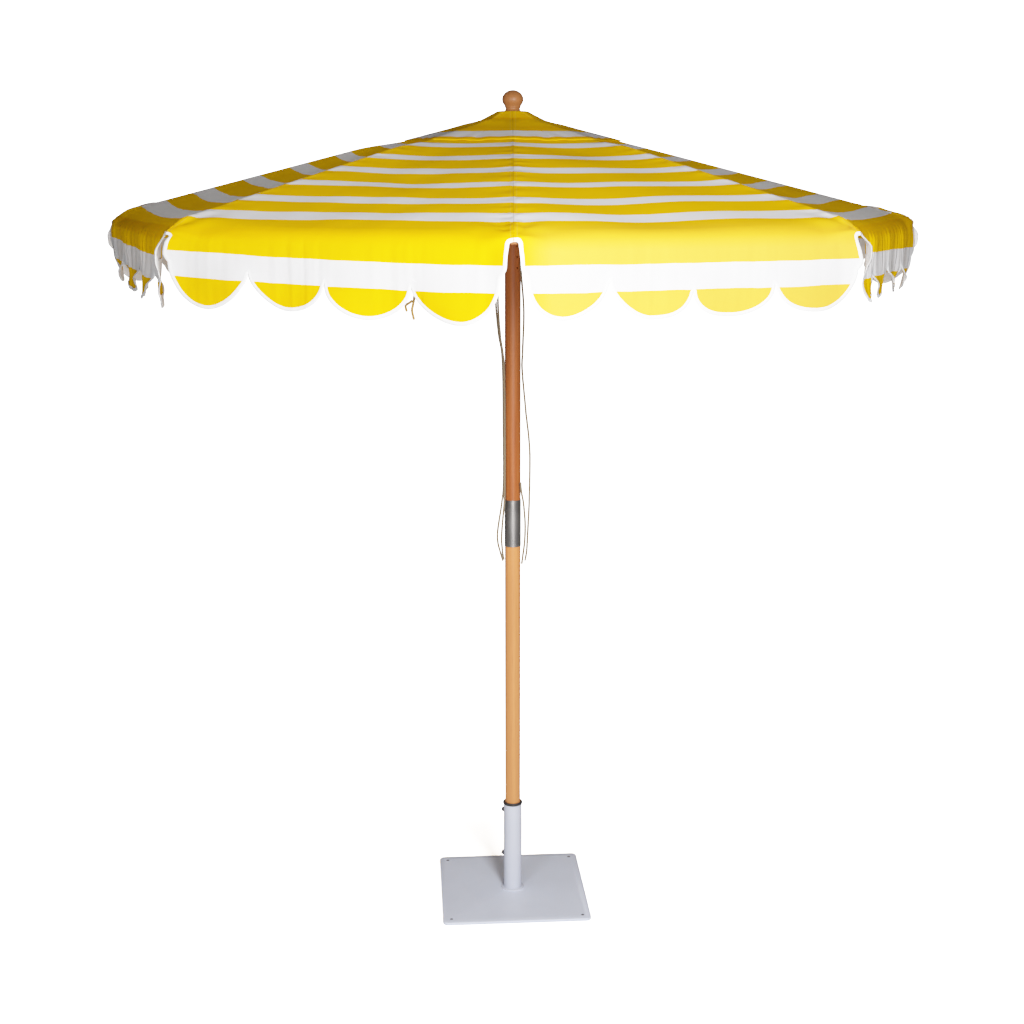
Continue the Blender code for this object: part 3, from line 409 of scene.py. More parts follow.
def grain_turn(k):
    """The turn of the grain's space that lays its Z along one rib."""
    hinges = (JOINTS[f"{end}_hinge_{k}"]["pos_m"] for end in ("strut", "rib"))
    strut_hinge, rib_hinge = (Vector(place) for place in hinges)
    reach = (strut_hinge - rib_hinge).normalized()
    return tuple(reach.rotation_difference(Vector((0, 0, 1))).to_euler())


def dress_frame():
    for k in range(1, SECTORS + 1):
        rib = wood(f"rib_beech_{k}", (0.46, 0.165, 0.05), (0.28, 0.08, 0.022), grain_turn(k))
        dress(f"rib_{k}", rib)
        dress(f"strut_{k}", rib)
    plain = (
        (RED_WOOD, "pole_upper top_hub runner"),
        (PALE_WOOD, "pole_lower"),
        (KNOB_WOOD, "finial"),
        (SLEEVE, "pole_joiner"),
        (ZINC, "joiner_screw_upper joiner_screw_lower hub_wire sheave lock_pin"),
        (ZINC, "clamp_stud_1 clamp_stud_2"),
        (PLASTIC, "clamp_knob_1 clamp_knob_2 base_bushing pole_foot_cap"),
        (COAT, "base_tube base_flange"),
        (PLATE_COAT, "base_plate"),
        (PAD_PLASTIC, "foot_pad_1 foot_pad_2 foot_pad_3 foot_pad_4"),
    )
    for material, nodes in plain:
        for node in nodes.split():
            dress(node, material)


dress_frame()


# ---------------------------------------------------------------------------
# Cloth surfaces
# ---------------------------------------------------------------------------
def noise_wave(x, y, seed, waves=6, shortest=0.07, longest=0.5):
    """A smooth random field made of a few sine waves, the same each run."""
    dice = np.random.default_rng(seed)
    total = np.zeros_like(x)
    for _ in range(waves):
        length = dice.uniform(shortest, longest)
        heading = dice.uniform(0, math.pi)
        phase = dice.uniform(0, 2 * math.pi)
        along = x * math.cos(heading) + y * math.sin(heading)
        total += length * np.sin(2 * math.pi * along / length + phase)
    return total / (waves * longest)


SCALLOP = 2 * CREASE_HALF / 4
# Turn of each scallop about its own middle line, in radians from low w to high w; positive moves
# the higher-w edge outward
TURN = {
    1: (0.05, -0.04, 0.05, -0.05),
    2: (0.05, -0.19, -0.21, -0.12),
    3: (-0.16, 0.14, -0.10, 0.12),
    4: (0.12, -0.15, 0.10, -0.08),
    5: (0.14, 0.10, -0.16, 0.10),
    6: (-0.12, 0.14, -0.10, 0.12),
    7: (0.13, 0.21, 0.19, 0.17),
    8: (0.06, 0.05, -0.05, 0.04),
}
# How wavy each valance hangs
SLACK = {1: 0.6, 2: 1.4, 3: 1.4, 4: 1.1, 5: 1.1, 6: 1.2, 7: 1.5, 8: 0.8}
# How far up the hem is drawn, from low w to high w: at the ends, the scallops' middles and the cusps
LIFTS = {
    1: (0.000, 0.004, 0.019, 0.000, -0.010, 0.000, 0.000, 0.004, 0.008),
    2: (0.004, 0.006, 0.014, 0.004, 0.012, 0.010, 0.004, 0.008, 0.004),
    3: (0.004, -0.004, 0.006, 0.008, 0.002, 0.000, 0.008, 0.004, 0.000),
    4: (0.000, 0.006, 0.004, -0.002, 0.006, 0.008, 0.000, 0.004, 0.004),
    5: (0.002, -0.012, 0.000, 0.006, 0.010, 0.002, -0.004, 0.006, 0.000),
    6: (0.000, 0.008, 0.004, 0.010, 0.000, -0.002, 0.006, 0.004, 0.004),
    7: (0.004, 0.010, 0.006, 0.002, 0.010, 0.006, 0.004, 0.000, 0.004),
    8: (-0.006, -0.009, 0.015, 0.0015, 0.000, -0.007, 0.000, -0.009, 0.000),
}
# How far a whole valance is drawn up at its low-w end, its middle and its high-w end
DRAWN = {
    1: (0.0, -0.003, -0.003),
    2: (0.006, -0.004, -0.018),
    7: (0.016, 0.0, -0.006),
    8: (0.0205, 0.004, 0.0),
}
# How far the three cusps of a valance sit from their even spacing
CUSPS = {1: (0.008, -0.003, -0.009), 8: (0.0, -0.023, -0.029)}
# How far the stripes of the side panels sit further out, at low w and at high w
SIDE_SHIFTS = {2: (0.050, 0.038), 7: (0.010, 0.040)}
# How far each rib's seam stands above the flat canopy, rib 1 to rib 8
SEAM_RISE = (0.003, 0.015, 0.001, 0.008, 0.008, 0.008, 0.015, 0.015)
# Height of the fold beside a side rib, and the panels that have it, with its side of w
TUCK = 0.012
TUCKED = {3: -1, 6: 1}
# Each valance's ends: how far they slide along the crease, and how far they flare outward
SLIDE = {(8, -1): -0.030, (1, 1): 0.030, (7, 1): -0.015, (2, -1): 0.015}
FLARE = {(7, 1): 0.032, (2, -1): 0.032, (6, 1): 0.034, (3, -1): 0.036}


def panel_lift(k, w, seam_r):
    """Height of the cloth over its flat panel at w across and seam radius seam_r."""
    half = np.maximum(seam_r * SH, 1e-6)
    u = np.clip(np.abs(w) / half, 0, 1)
    inside = 1 - u**2
    run = np.clip((seam_r - 0.2) / (CORNER - 0.2), 0, 1)
    sag = -0.005 * inside * np.sin(math.pi * run) ** 0.8
    depth = 0.005 if k in (2, 7) else 0.010
    ripple = depth * noise_wave(w, seam_r, 40 + k) * inside * smooth(run, 0, 0.3)
    ripple *= 1 - 0.7 * smooth(run, 0.85, 1.0)
    from_seam = (half - np.abs(w)) * CH
    pull = 0.0022 * np.sin(seam_r * 105 + 3 * np.sin(seam_r * 9 + k))
    pull = pull * np.exp(-from_seam / 0.03)
    pull *= smooth(from_seam, 0.0, 0.012)
    corner_w = np.abs(w) - CREASE_HALF
    corner_r = (seam_r - CORNER) * CH
    reach = np.hypot(corner_w, corner_r)
    bearing = np.arctan2(-corner_r, -corner_w + 1e-9)
    fan = 0.0022 * np.cos(bearing * 9 + k) * np.exp(-((reach - 0.09) / 0.07) ** 2)
    fan *= smooth(from_seam, 0.0, 0.02)
    peak = 0.005 * smooth(seam_r, CORNER - 0.10, CORNER - 0.045)
    fall = 0.009 * smooth(seam_r, CORNER - 0.032, CORNER)
    bump = np.exp(-((from_seam / 0.017) ** 2)) * (peak - fall)
    tuck = 0.0
    if k in TUCKED:
        beside = np.where(w * TUCKED[k] > 0, from_seam, 1.0)
        tuck = TUCK * np.exp(-(((beside - 0.035) / 0.022) ** 2))
        tuck = tuck * smooth(seam_r, CORNER - 0.17, CORNER - 0.10)
        tuck = tuck * (1 - smooth(seam_r, CORNER - 0.05, CORNER - 0.01))
    return sag + ripple + pull + fan + bump + tuck + seam_rise(k, w, seam_r)


def seam_rise(k, w, seam_r):
    """The cloth rides high over each rib, and comes down to the hinge line at the rib's end."""
    share = np.clip(np.abs(w) / np.maximum(seam_r * SH, 1e-6), 0, 1)
    height = np.where(w < 0, SEAM_RISE[k - 1], SEAM_RISE[k % SECTORS])
    window = smooth(seam_r, 0.30, 0.50) * (1 - smooth(seam_r, CORNER - 0.075, CORNER - 0.008))
    return height * share**2 * window


def drawn_up(k, w):
    low, middle, high = DRAWN.get(k, (0.0, 0.0, 0.0))
    s = np.clip((w + CREASE_HALF) / (2 * CREASE_HALF), 0, 1)
    return low * (1 - s) * (1 - 2 * s) + 4 * middle * s * (1 - s) + high * s * (2 * s - 1)


def end_fall(w, sign, width):
    """1 at one end of a valance, fading to 0 over the width."""
    return smooth(sign * w, CREASE_HALF - width, CREASE_HALF)


def valance_push(k, w, depth):
    """How far outward the valance hangs from its plane."""
    low = smooth(depth, 0.0, DROP)
    inside = 1 - np.clip(np.abs(w) / CREASE_HALF, 0, 1) ** 6
    phase = 1.7 * k
    slack = SLACK[k]
    sway = 0.007 * np.sin(2 * math.pi * w / 0.31 + phase) * low
    swell = 0.6 + 0.4 * np.sin(w * 23 + 2.6 * phase)
    gather_phase = 2 * math.pi * w / 0.062 + 2.2 * np.sin(w * 11 + phase) + 9 * depth
    gather = 0.0030 * swell * np.sin(gather_phase)
    gather *= smooth(depth, 0.0, 0.05) * (1 - 0.5 * smooth(depth, 0.12, 0.2))
    fine = 0.0011 * swell * np.sin(2 * math.pi * w / 0.027 + 3 * np.sin(w * 17 + phase))
    fine *= smooth(depth, 0.0, 0.04)
    flick = 0.008 * smooth(depth, 0.12, DROP + 0.01) ** 2 * np.sin(w * 14 + 2 * phase)
    calm = 0.35 if slack < 1 else 1.0
    total = ((sway + calm * (gather + fine)) * inside + flick) * slack
    for sign in (-1, 1):
        lower = smooth(depth, 0.004, 0.055)
        if (k, sign) in ((7, 1), (2, -1)):
            lower = lower * (1 - 0.7 * smooth(depth, 0.085, 0.15))
        total = total + FLARE.get((k, sign), 0.010) * end_fall(w, sign, 0.085) ** 1.5 * lower
    return total


def valance_slide(k, w, depth):
    """How far the hanging cloth moves along the crease, near the valance's ends."""
    lower = smooth(depth, 0.0, 0.11)
    return sum(SLIDE.get((k, sign), 0.0) * end_fall(w, sign, 0.22) * lower for sign in (-1, 1))


def scallop_turn(k, w, depth):
    """Each scallop turned about its middle line: how far outward and along the crease it moves."""
    half = SCALLOP / 2
    index = np.clip(np.floor((w + CREASE_HALF) / SCALLOP), 0, 3).astype(int)
    from_middle = w - ((index + 0.5) * SCALLOP - CREASE_HALF)
    angle = np.array(TURN[k])[index] * smooth(depth, 0.07, 0.165)
    free = smooth(depth, 0.126, 0.160)
    wave = half / math.pi * np.sin(math.pi * from_middle / half)
    outward = np.tan(angle) * (wave * (1 - free) + from_middle * free)
    curl = 0.10 * np.abs(angle) * free * from_middle**2 / half
    return outward + curl, from_middle * (np.cos(angle) - 1) * free


def hem_lift(k, w):
    place = np.clip((w + CREASE_HALF) / CREASE_HALF * 4, 0, 7.9999)
    left = np.floor(place).astype(int)
    share = smooth(place - left, 0, 1)
    lifts = np.array(LIFTS[k])
    return lifts[left] * (1 - share) + lifts[left + 1] * share


def cloth_point(k, w, q):
    """Points at w across and q down from the crease: the panel at q below 0, the valance above."""
    w, q = np.broadcast_arrays(np.asarray(w, float), np.asarray(q, float))
    out, side = axes(mid_turn(k))
    up = np.array([0.0, 0.0, 1.0])
    near_rib = smooth(np.abs(w), CREASE_HALF - 0.11, CREASE_HALF - 0.004)
    fold = 0.046 - 0.040 * near_rib
    in_fold = np.abs(q) < fold
    on_panel = np.where(in_fold, -((fold - q) ** 2) / (4 * fold), np.minimum(q, 0))
    on_drop = np.where(in_fold, (q + fold) ** 2 / (4 * fold), np.maximum(q, 0))
    seam_r = CORNER + on_panel * math.cos(PITCH) / CH
    lift = panel_lift(k, w, seam_r)
    radial = CORNER * CH + on_panel * math.cos(PITCH)
    lift = lift * (1 - smooth(on_drop, 0.0, 0.05))
    lift = lift + drawn_up(k, w) * smooth(on_drop, 0.0, 0.06)
    height = EDGE_Z - on_panel * math.sin(PITCH) - on_drop + lift
    turned_out, turned_along = scallop_turn(k, w, on_drop)
    radial = radial + valance_push(k, w, on_drop) + turned_out
    across = w + valance_slide(k, w, on_drop) + turned_along
    return radial[..., None] * out + across[..., None] * side + height[..., None] * up


def q_of(seam_r):
    return (seam_r - CORNER) * CH / math.cos(PITCH)


def cap_height(seam_r):
    """Height of the cap's surface: a flat crown, a steep shoulder, then the canopy's slope."""
    line = EDGE_Z + (CORNER - seam_r) * SLOPE + CAP_LIFT
    top = HINGE.z + 0.0302
    shoulder = top - 0.0005 - 0.5 * (seam_r - 0.046) * smooth(seam_r, 0.040, 0.060)
    return np.where(seam_r < 0.046, top, np.maximum(np.minimum(top, shoulder), line))


def cap_point(turn, t, u, droop=1.0, under=0.0):
    """A point of the vent cap at u out along a rib and t to its side."""
    out, side = axes(turn)
    t, u = np.broadcast_arrays(np.asarray(t, float), np.asarray(u, float))
    seam_r = u + np.abs(t) * math.tan(HALF)
    share = np.clip(np.abs(t) / np.maximum(seam_r * SH * CH, 1e-6), 0, 1)
    low = smooth(seam_r, 0.12, CAP_R)
    sag = -0.0035 * droop * share * low**2
    flutter = 0.0016 * np.sin(t * 95 + 11 * turn) * share * low**3
    points = u[..., None] * out + t[..., None] * side
    crumple = noise_wave(points[..., 0], points[..., 1], 7, 7, 0.05, 0.17)
    crumple = 0.0065 * (crumple + 0.12) * smooth(seam_r, 0.03, 0.07)
    crumple = crumple * (1 - smooth(seam_r, 0.12, 0.20))
    points[..., 2] = cap_height(seam_r) + sag + flutter + crumple - under
    return points


def cloth_normals(k, w, q, facing=(0.0, 0.0, 1.0), step=0.0015):
    """Unit normals of panel and valance k by finite differences, on the side that faces one way."""
    across = cloth_point(k, w + step, q) - cloth_point(k, w - step, q)
    down = cloth_point(k, w, q + step) - cloth_point(k, w, q - step)
    normal = np.cross(across, down)
    normal = normal / np.maximum(np.linalg.norm(normal, axis=-1, keepdims=True), TINY)
    return normal * np.sign(normal @ np.array(facing) + TINY)[..., None]


class Cloth:
    """Collects grids of points into one mesh, with the "cloth" attribute that its materials read."""

    def __init__(self):
        self.points, self.marks, self.faces, self.slots, self.normals = [], [], [], [], []

    def grid(self, points, marks, slot=0, normals=None):
        """Adds one grid. With normals, its faces are wound to point the same way."""
        rows, columns = points.shape[:2]
        flip = False
        first = len(self.points)
        self.points.extend(points.reshape(-1, 3).tolist())
        self.marks.extend(marks.reshape(-1, 3).tolist())
        if normals is None:
            normals = np.zeros_like(points)
        else:
            corner = points[:-1, :-1]
            facing = np.cross(points[:-1, 1:] - corner, points[1:, :-1] - corner)
            flip = (facing * normals[:-1, :-1]).sum() < 0
        self.normals.extend(normals.reshape(-1, 3).tolist())
        for i in range(rows - 1):
            for j in range(columns - 1):
                a = first + i * columns + j
                ring = (a, a + 1, a + columns + 1, a + columns)
                self.faces.append(ring[::-1] if flip else ring)
                self.slots.append(slot)

    def piece(self, name, materials):
        mesh = bpy.data.meshes.new(name)
        mesh.from_pydata(self.points, [], self.faces)
        mark = mesh.attributes.new("cloth", "FLOAT_VECTOR", "POINT")
        mark.data.foreach_set("vector", np.array(self.marks, np.float32).ravel())
        for material in materials:
            mesh.materials.append(material)
        mesh.polygons.foreach_set("material_index", self.slots)
        mesh.polygons.foreach_set("use_smooth", [True] * len(self.faces))
        normals = np.array(self.normals)
        if np.abs(normals).max() > 0:
            mesh.normals_split_custom_set_from_vertices([tuple(n) for n in normals])
        mesh.update()
        obj = bpy.data.objects.new(name, mesh)
        bpy.context.scene.collection.objects.link(obj)
        return obj


def settle(obj, body, node=None):
    """Puts a piece on its body, in place of the CAD node that it stands for."""
    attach(obj, body)
    if node:
        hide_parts(node)


CENTRE_HALF = 0.026  # half width of the middle strip of each panel and valance, which is a piece of its own
SPLITS = (("left", -1), ("mid", 0), ("right", 1))


def folds_flat(obj):
    """Gives the piece a mesh of its own."""
    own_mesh(obj)


def panel_rows():
    wide = np.arange(OPENING, CORNER - 0.055, 0.0195)
    close = np.linspace(CORNER - 0.052, CORNER, 15)
    return np.concatenate([wide, close])


ALLOWANCE = 0.026


def seam_allowance(sheet, k, w, reach):
    """Cloth turned in past the crease, close under the other piece: it covers the closed fold."""
    w = w[np.abs(w) <= CREASE_HALF - 0.016][None, :]
    q = np.linspace(0, reach, 7)[:, None] * np.ones_like(w)
    w = w * np.ones_like(q)
    points = cloth_point(k, w, q)
    normals = cloth_normals(k, w, q)
    points = points - normals * 0.0024 * smooth(np.abs(q), 0, 0.006)[..., None]
    plain = np.where(reach > 0, CORNER, 0.0) * np.ones_like(w)
    sheet.grid(points, np.stack([w, plain, np.full_like(w, 0.5)], -1), 0, normals)


def build_panel(k):
    radii = panel_rows()[:, None]
    for label, sign in SPLITS:
        if sign:
            across = np.linspace(0, 1, 29)[None, :] ** 0.85
            w = sign * (CENTRE_HALF + across * (radii * SH - CENTRE_HALF))
        else:
            w = np.linspace(-CENTRE_HALF, CENTRE_HALF, 7)[None, :] * np.ones_like(radii)
        q = q_of(radii) * np.ones_like(w)
        points = cloth_point(k, w, q)
        normals = cloth_normals(k, w, q)
        from_seam = (radii * SH - np.abs(w)) * CH
        shift = 0.011 * noise_wave(w, radii, 70 + k, 6, 0.15, 0.8)
        if k in SIDE_SHIFTS:
            low, high = SIDE_SHIFTS[k]
            share = (w / (radii * SH) + 1) / 2
            shift = 0.5 * shift - (low + (high - low) * share) * smooth(radii, 0.45, 1.15)
        else:
            shift = shift - 3.0 * seam_rise(k, w, radii)
        marks = np.stack([w, radii + shift, from_seam], -1)
        sheet = Cloth()
        canvas_here = {1: PAINTED_HIGHLIGHT_PANEL, 2: SIDE_CANVAS, 7: SIDE_CANVAS}.get(k, PANEL_CANVAS)
        sheet.grid(points, marks, 0, normals)
        seam_allowance(sheet, k, w[-1], ALLOWANCE)
        obj = sheet.piece(f"canopy_cloth_{k}_{label}", [canvas_here])
        settle(obj, f"canopy_panel_{k}", f"canopy_panel_{k}")
        if sign:
            folds_flat(obj)


def valance_edge():
    """The cut edge of half a valance, from the slit's arch to the middle: (w, depth) points."""
    cusp, end_top, end_centre = 0.126, 0.10, 0.128
    rise, end_rise = DROP - cusp, DROP - end_top
    centre = CREASE_HALF - end_centre
    points = []
    for a in np.linspace(0, 90, 7):
        t = math.radians(a)
        points.append((CREASE_HALF - 0.0125 * math.sin(t), 0.0195 - 0.010 * math.cos(t)))
    for s in np.linspace(0, 1, 9)[1:]:
        points.append((CREASE_HALF - 0.0125 - 0.0035 * s**1.5, 0.0195 + 0.0575 * s))
    for s in np.linspace(0, 1, 6)[1:-1]:
        points.append((CREASE_HALF - 0.0160 - 0.0160 * s**1.4, 0.077 + 0.023 * s))
    for a in np.linspace(0, 90, 19):
        t = math.radians(a)
        points.append((centre + 0.096 * math.cos(t), end_top + end_rise * math.sin(t)))
    inner = SCALLOP - end_centre
    for a in np.linspace(90, 180, 20)[1:]:
        t = math.radians(a)
        points.append((centre + inner * math.cos(t), cusp + rise * math.sin(t)))
    for a in np.linspace(0, 180, 37)[1:]:
        t = math.radians(a)
        points.append((SCALLOP / 2 + SCALLOP / 2 * math.cos(t), cusp + rise * math.sin(t)))
    return np.array(points)[::-1]


def clipped_edge(edge, low, high):
    """The part of the edge between two w values, with points exactly on both."""

    def at(w):
        return (w, float(np.interp(w, edge[:, 0], edge[:, 1])))

    inside = [tuple(p) for p in edge if low + 1e-5 < p[0] < high - 1e-5]
    return np.array([at(low), *inside, at(high)])


def edge_inward(edge):
    """Unit vectors from the cut edge into the cloth, in (w, depth)."""
    ahead = np.gradient(edge, axis=0)
    ahead /= np.maximum(np.linalg.norm(ahead, axis=1, keepdims=True), 1e-9)
    return np.stack([ahead[:, 1], -ahead[:, 0]], 1)


def build_valance(k):
    half = valance_edge()
    whole = np.concatenate([-half[::-1] * [1, -1], half[1:]])
    whole[:, 1] -= hem_lift(k, whole[:, 0]) * smooth(whole[:, 1], 0.09, 0.13)
    if k in CUSPS:
        spots = np.array([-CREASE_HALF, -SCALLOP, 0.0, SCALLOP, CREASE_HALF - 0.06])
        whole[:, 0] += np.interp(whole[:, 0], spots, (0.0, *CUSPS[k], 0.0))
    whole[:, 0] += np.linspace(0, 1e-7, len(whole))
    for label, sign in SPLITS:
        low, high = {
            -1: (-CREASE_HALF, -CENTRE_HALF),
            0: (-CENTRE_HALF, CENTRE_HALF),
            1: (CENTRE_HALF, CREASE_HALF),
        }[sign]
        edge = clipped_edge(whole, low, high)
        share = np.linspace(0, 1, 17)[:, None]
        w = edge[:, 0][None, :] * np.ones_like(share)
        q = edge[:, 1][None, :] * share
        points = cloth_point(k, w, q)
        normals = cloth_normals(k, w, q, axes(mid_turn(k))[0] + [0.0, 0.0, 0.15])
        marks = np.stack([w, q, np.full_like(w, 0.5)], -1)
        sheet = Cloth()
        sheet.grid(points, marks, 0, normals)
        seam_allowance(sheet, k, w[0], -ALLOWANCE)
        bind_edge(sheet, k, edge)
        canvas_here = PAINTED_HIGHLIGHT_VALANCE if k == 1 else VALANCE_CANVAS
        obj = sheet.piece(f"valance_cloth_{k}_{label}", [canvas_here, BINDING])
        settle(obj, f"valance_{k}", f"valance_{k}")
        if sign:
            folds_flat(obj)


# The binding's section: (how far inside the cut edge, how far outward from the cloth)
BINDING_STEPS = (
    (0.0090, 0.0011),
    (0.0045, 0.0019),
    (-0.0002, 0.0014),
    (-0.0012, 0.0),
    (-0.0002, -0.0014),
    (0.0050, -0.0019),
    (0.0160, -0.0013),
    (0.0340, -0.0011),
)


def bind_edge(sheet, k, edge):
    """White tape folded over the cut edge: a narrow band outside, and a wide facing inside."""
    inward = edge_inward(edge)
    out, _ = axes(mid_turn(k))
    rows, marks, normals = [], [], []
    run = np.concatenate([[0], np.cumsum(np.linalg.norm(np.diff(edge, axis=0), axis=1))])
    for inset, lift in BINDING_STEPS:
        spot = edge + inward * inset
        w, q = spot[:, 0], np.maximum(spot[:, 1], 0.0005)
        normal = cloth_normals(k, w, q, out)
        rows.append(cloth_point(k, w, q) + normal * lift)
        marks.append(np.stack([run, np.full_like(run, inset), np.full_like(run, lift)], 1))
        lean = normal * np.sign(lift if lift else 1)
        normals.append(lean if abs(inset) > 0.001 else np.zeros_like(lean))
    sheet.grid(np.stack(rows), np.stack(marks), 1, np.stack(normals))


# ---------------------------------------------------------------------------
# Vent cap: a crown that stays on the mast and eight skirts that fold with the ribs
# ---------------------------------------------------------------------------
CAP_CENTRE = 0.022
CROWN_R = 0.098


def skirt_grid(turn, radii, sign, count):
    radii = radii[:, None]
    widest = radii * SH * CH
    start = np.minimum(CAP_CENTRE, widest)
    share = np.linspace(0, 1, count)[None, :]
    if sign:
        t = sign * (start + share * (widest - start))
    else:
        t = (2 * share - 1) * start
    u = radii - np.abs(t) * math.tan(HALF)
    return t, u


def build_crown():
    sheet = Cloth()
    radii = np.concatenate([np.linspace(0.0128, 0.044, 5), np.linspace(0.047, CROWN_R, 12)])
    for k in range(1, SECTORS + 1):
        turn = rib_turn(k)
        r = radii[:, None]
        share = np.linspace(-1, 1, 13)[None, :]
        t = share * r * SH * CH
        u = r - np.abs(t) * math.tan(HALF)
        points = cap_point(turn, t, u, under=-0.0012)
        marks = np.stack([t, r * np.ones_like(t), np.abs(t)], -1)
        sheet.grid(points, marks)
    obj = sheet.piece("vent_cap_crown", [CAP_CANVAS])
    weld_seams(obj, 1e-5, recalculate=True)
    settle(obj, "upper_pole", "vent_cap")


def weld_seams(obj, reach, recalculate=False):
    bm = bmesh.new()
    bm.from_mesh(obj.data)
    bmesh.ops.remove_doubles(bm, verts=bm.verts, dist=reach)
    if recalculate:
        bmesh.ops.recalc_face_normals(bm, faces=bm.faces)
    bm.to_mesh(obj.data)
    bm.free()


def build_skirt(k):
    turn = rib_turn(k)
    radii = np.linspace(0.062, CAP_R, 21)
    for label, sign in SPLITS:
        t, u = skirt_grid(turn, radii, sign, 15 if sign else 7)
        points = cap_point(turn, t, u)
        r = radii[:, None] * np.ones_like(t)
        marks = np.stack([t, r, np.abs(t)], -1)
        sheet = Cloth()
        sheet.grid(points, marks, 0)
        hem(sheet, turn, t[-1], sign)
        obj = sheet.piece(f"cap_skirt_{k}_{label}", [CAP_CANVAS])
        weld_seams(obj, 1e-6)
        settle(obj, f"rib_{k}", "vent_cap")
        if sign:
            folds_flat(obj)


def hem(sheet, turn, t, sign):
    """The cap's edge, turned under: a rounded lip and a narrow return on the underside."""
    steps = ((0.0, 0.0), (0.0012, 0.0008), (0.0014, 0.0022), (0.0002, 0.0030), (-0.018, 0.0024))
    rows, marks = [], []
    for further, under in steps:
        r = CAP_R + further
        scale = r / CAP_R
        tt = t * scale
        u = r - np.abs(tt) * math.tan(HALF)
        rows.append(cap_point(turn, tt, u, under=under))
        marks.append(np.stack([tt, np.full_like(tt, min(r, CAP_R)), np.abs(tt)], 1))
    sheet.grid(np.stack(rows), np.stack(marks), 0)


for number in range(1, SECTORS + 1):
    build_panel(number)
    build_valance(number)
    build_skirt(number)
build_crown()


# ---------------------------------------------------------------------------
# Cords
# ---------------------------------------------------------------------------
def spline(points, step=0.008):
    """Evenly spaced points along a smooth curve through the given ones."""
    points = np.array(points, float)
    padded = np.concatenate([[2 * points[0] - points[1]], points, [2 * points[-1] - points[-2]]])
    path = []
    for i in range(len(points) - 1):
        a, b, c, d = padded[i : i + 4]
        count = max(2, int(np.linalg.norm(c - b) / step))
        for s in np.arange(count) / count:
            path.append(
                0.5 * (2 * b + (c - a) * s + (2 * a - 5 * b + 4 * c - d) * s**2
                       + (3 * b - a - 3 * c + d) * s**3)
            )
    path.append(points[-1])
    return np.array(path)


def tube(sheet, path, radius, sides=8, slot=0, twist=0.0):
    """A round cord along a path, with its length and turn in the "cloth" attribute."""
    ahead = np.gradient(path, axis=0)
    ahead /= np.linalg.norm(ahead, axis=1, keepdims=True)
    frame_x = np.array([0.0, 1.0, 0.0])
    run, rows, marks = 0.0, [], []
    for i, (spot, forward) in enumerate(zip(path, ahead)):
        if i:
            run += np.linalg.norm(spot - path[i - 1])
        frame_x = frame_x - forward * (frame_x @ forward)
        frame_x /= np.linalg.norm(frame_x)
        frame_y = np.cross(forward, frame_x)
        angles = np.linspace(0, 2 * math.pi, sides + 1)
        wave = radius * (1 + 0.10 * np.abs(np.sin(1.5 * angles + twist * run)))
        ring = spot + wave[:, None] * (
            np.cos(angles)[:, None] * frame_x + np.sin(angles)[:, None] * frame_y
        )
        rows.append(ring)
        marks.append(np.stack([np.full(sides + 1, run), angles, np.zeros(sides + 1)], 1))
    sheet.grid(np.stack(rows), np.stack(marks), slot)


def build_ropes():
    top = RUNNER_LOW - 0.001
    left_outer = [(-0.047, -0.014, top), (-0.053, -0.014, 2.19), (-0.0547, -0.012, 2.065),
                  (-0.046, -0.012, 1.96), (-0.0335, -0.013, 1.871), (-0.0305, -0.012, 1.65),
                  (-0.0300, -0.012, 1.473), (-0.036, -0.016, 1.40), (-0.050, -0.016, 1.303),
                  (-0.049, -0.014, 1.262), (-0.040, -0.012, 1.225), (-0.033, -0.012, 1.20)]
    left_inner = [(-0.041, -0.026, top), (-0.046, -0.022, 2.18), (-0.0475, -0.020, 2.06),
                  (-0.040, -0.020, 1.95), (-0.0290, -0.021, 1.86), (-0.0262, -0.021, 1.66),
                  (-0.0262, -0.021, 1.50), (-0.0275, -0.022, 1.41), (-0.034, -0.020, 1.33),
                  (-0.037, -0.017, 1.275), (-0.034, -0.016, 1.235), (-0.030, -0.016, 1.205)]
    right_outer = [(0.0445, -0.018, top), (0.030, -0.016, 2.20), (0.0256, -0.018, 2.175),
                   (0.0355, -0.012, 2.032), (0.0320, -0.012, 1.90), (0.0308, -0.012, 1.838),
                   (0.0426, -0.011, 1.706), (0.0559, -0.010, 1.573), (0.0546, -0.010, 1.406),
                   (0.0500, -0.010, 1.30), (0.0467, -0.009, 1.234), (0.041, -0.010, 1.20)]
    right_inner = [(0.026, -0.030, 1.47), (0.0285, -0.026, 1.44), (0.036, -0.020, 1.395),
                   (0.041, -0.014, 1.33), (0.040, -0.012, 1.27), (0.034, -0.014, 1.22),
                   (0.030, -0.014, 1.19)]
    for name, runs, node in (
        ("halyard_left", (left_outer, left_inner), "rope_left"),
        ("halyard_right", (right_outer,), "rope_right"),
        ("halyard_tail", (right_inner,), None),
    ):
        sheet = Cloth()
        for run in runs:
            path = spline(run)
            tube(sheet, path, 0.0030, twist=700.0)
        obj = sheet.piece(name, [CORD])
        settle(obj, "runner", node)


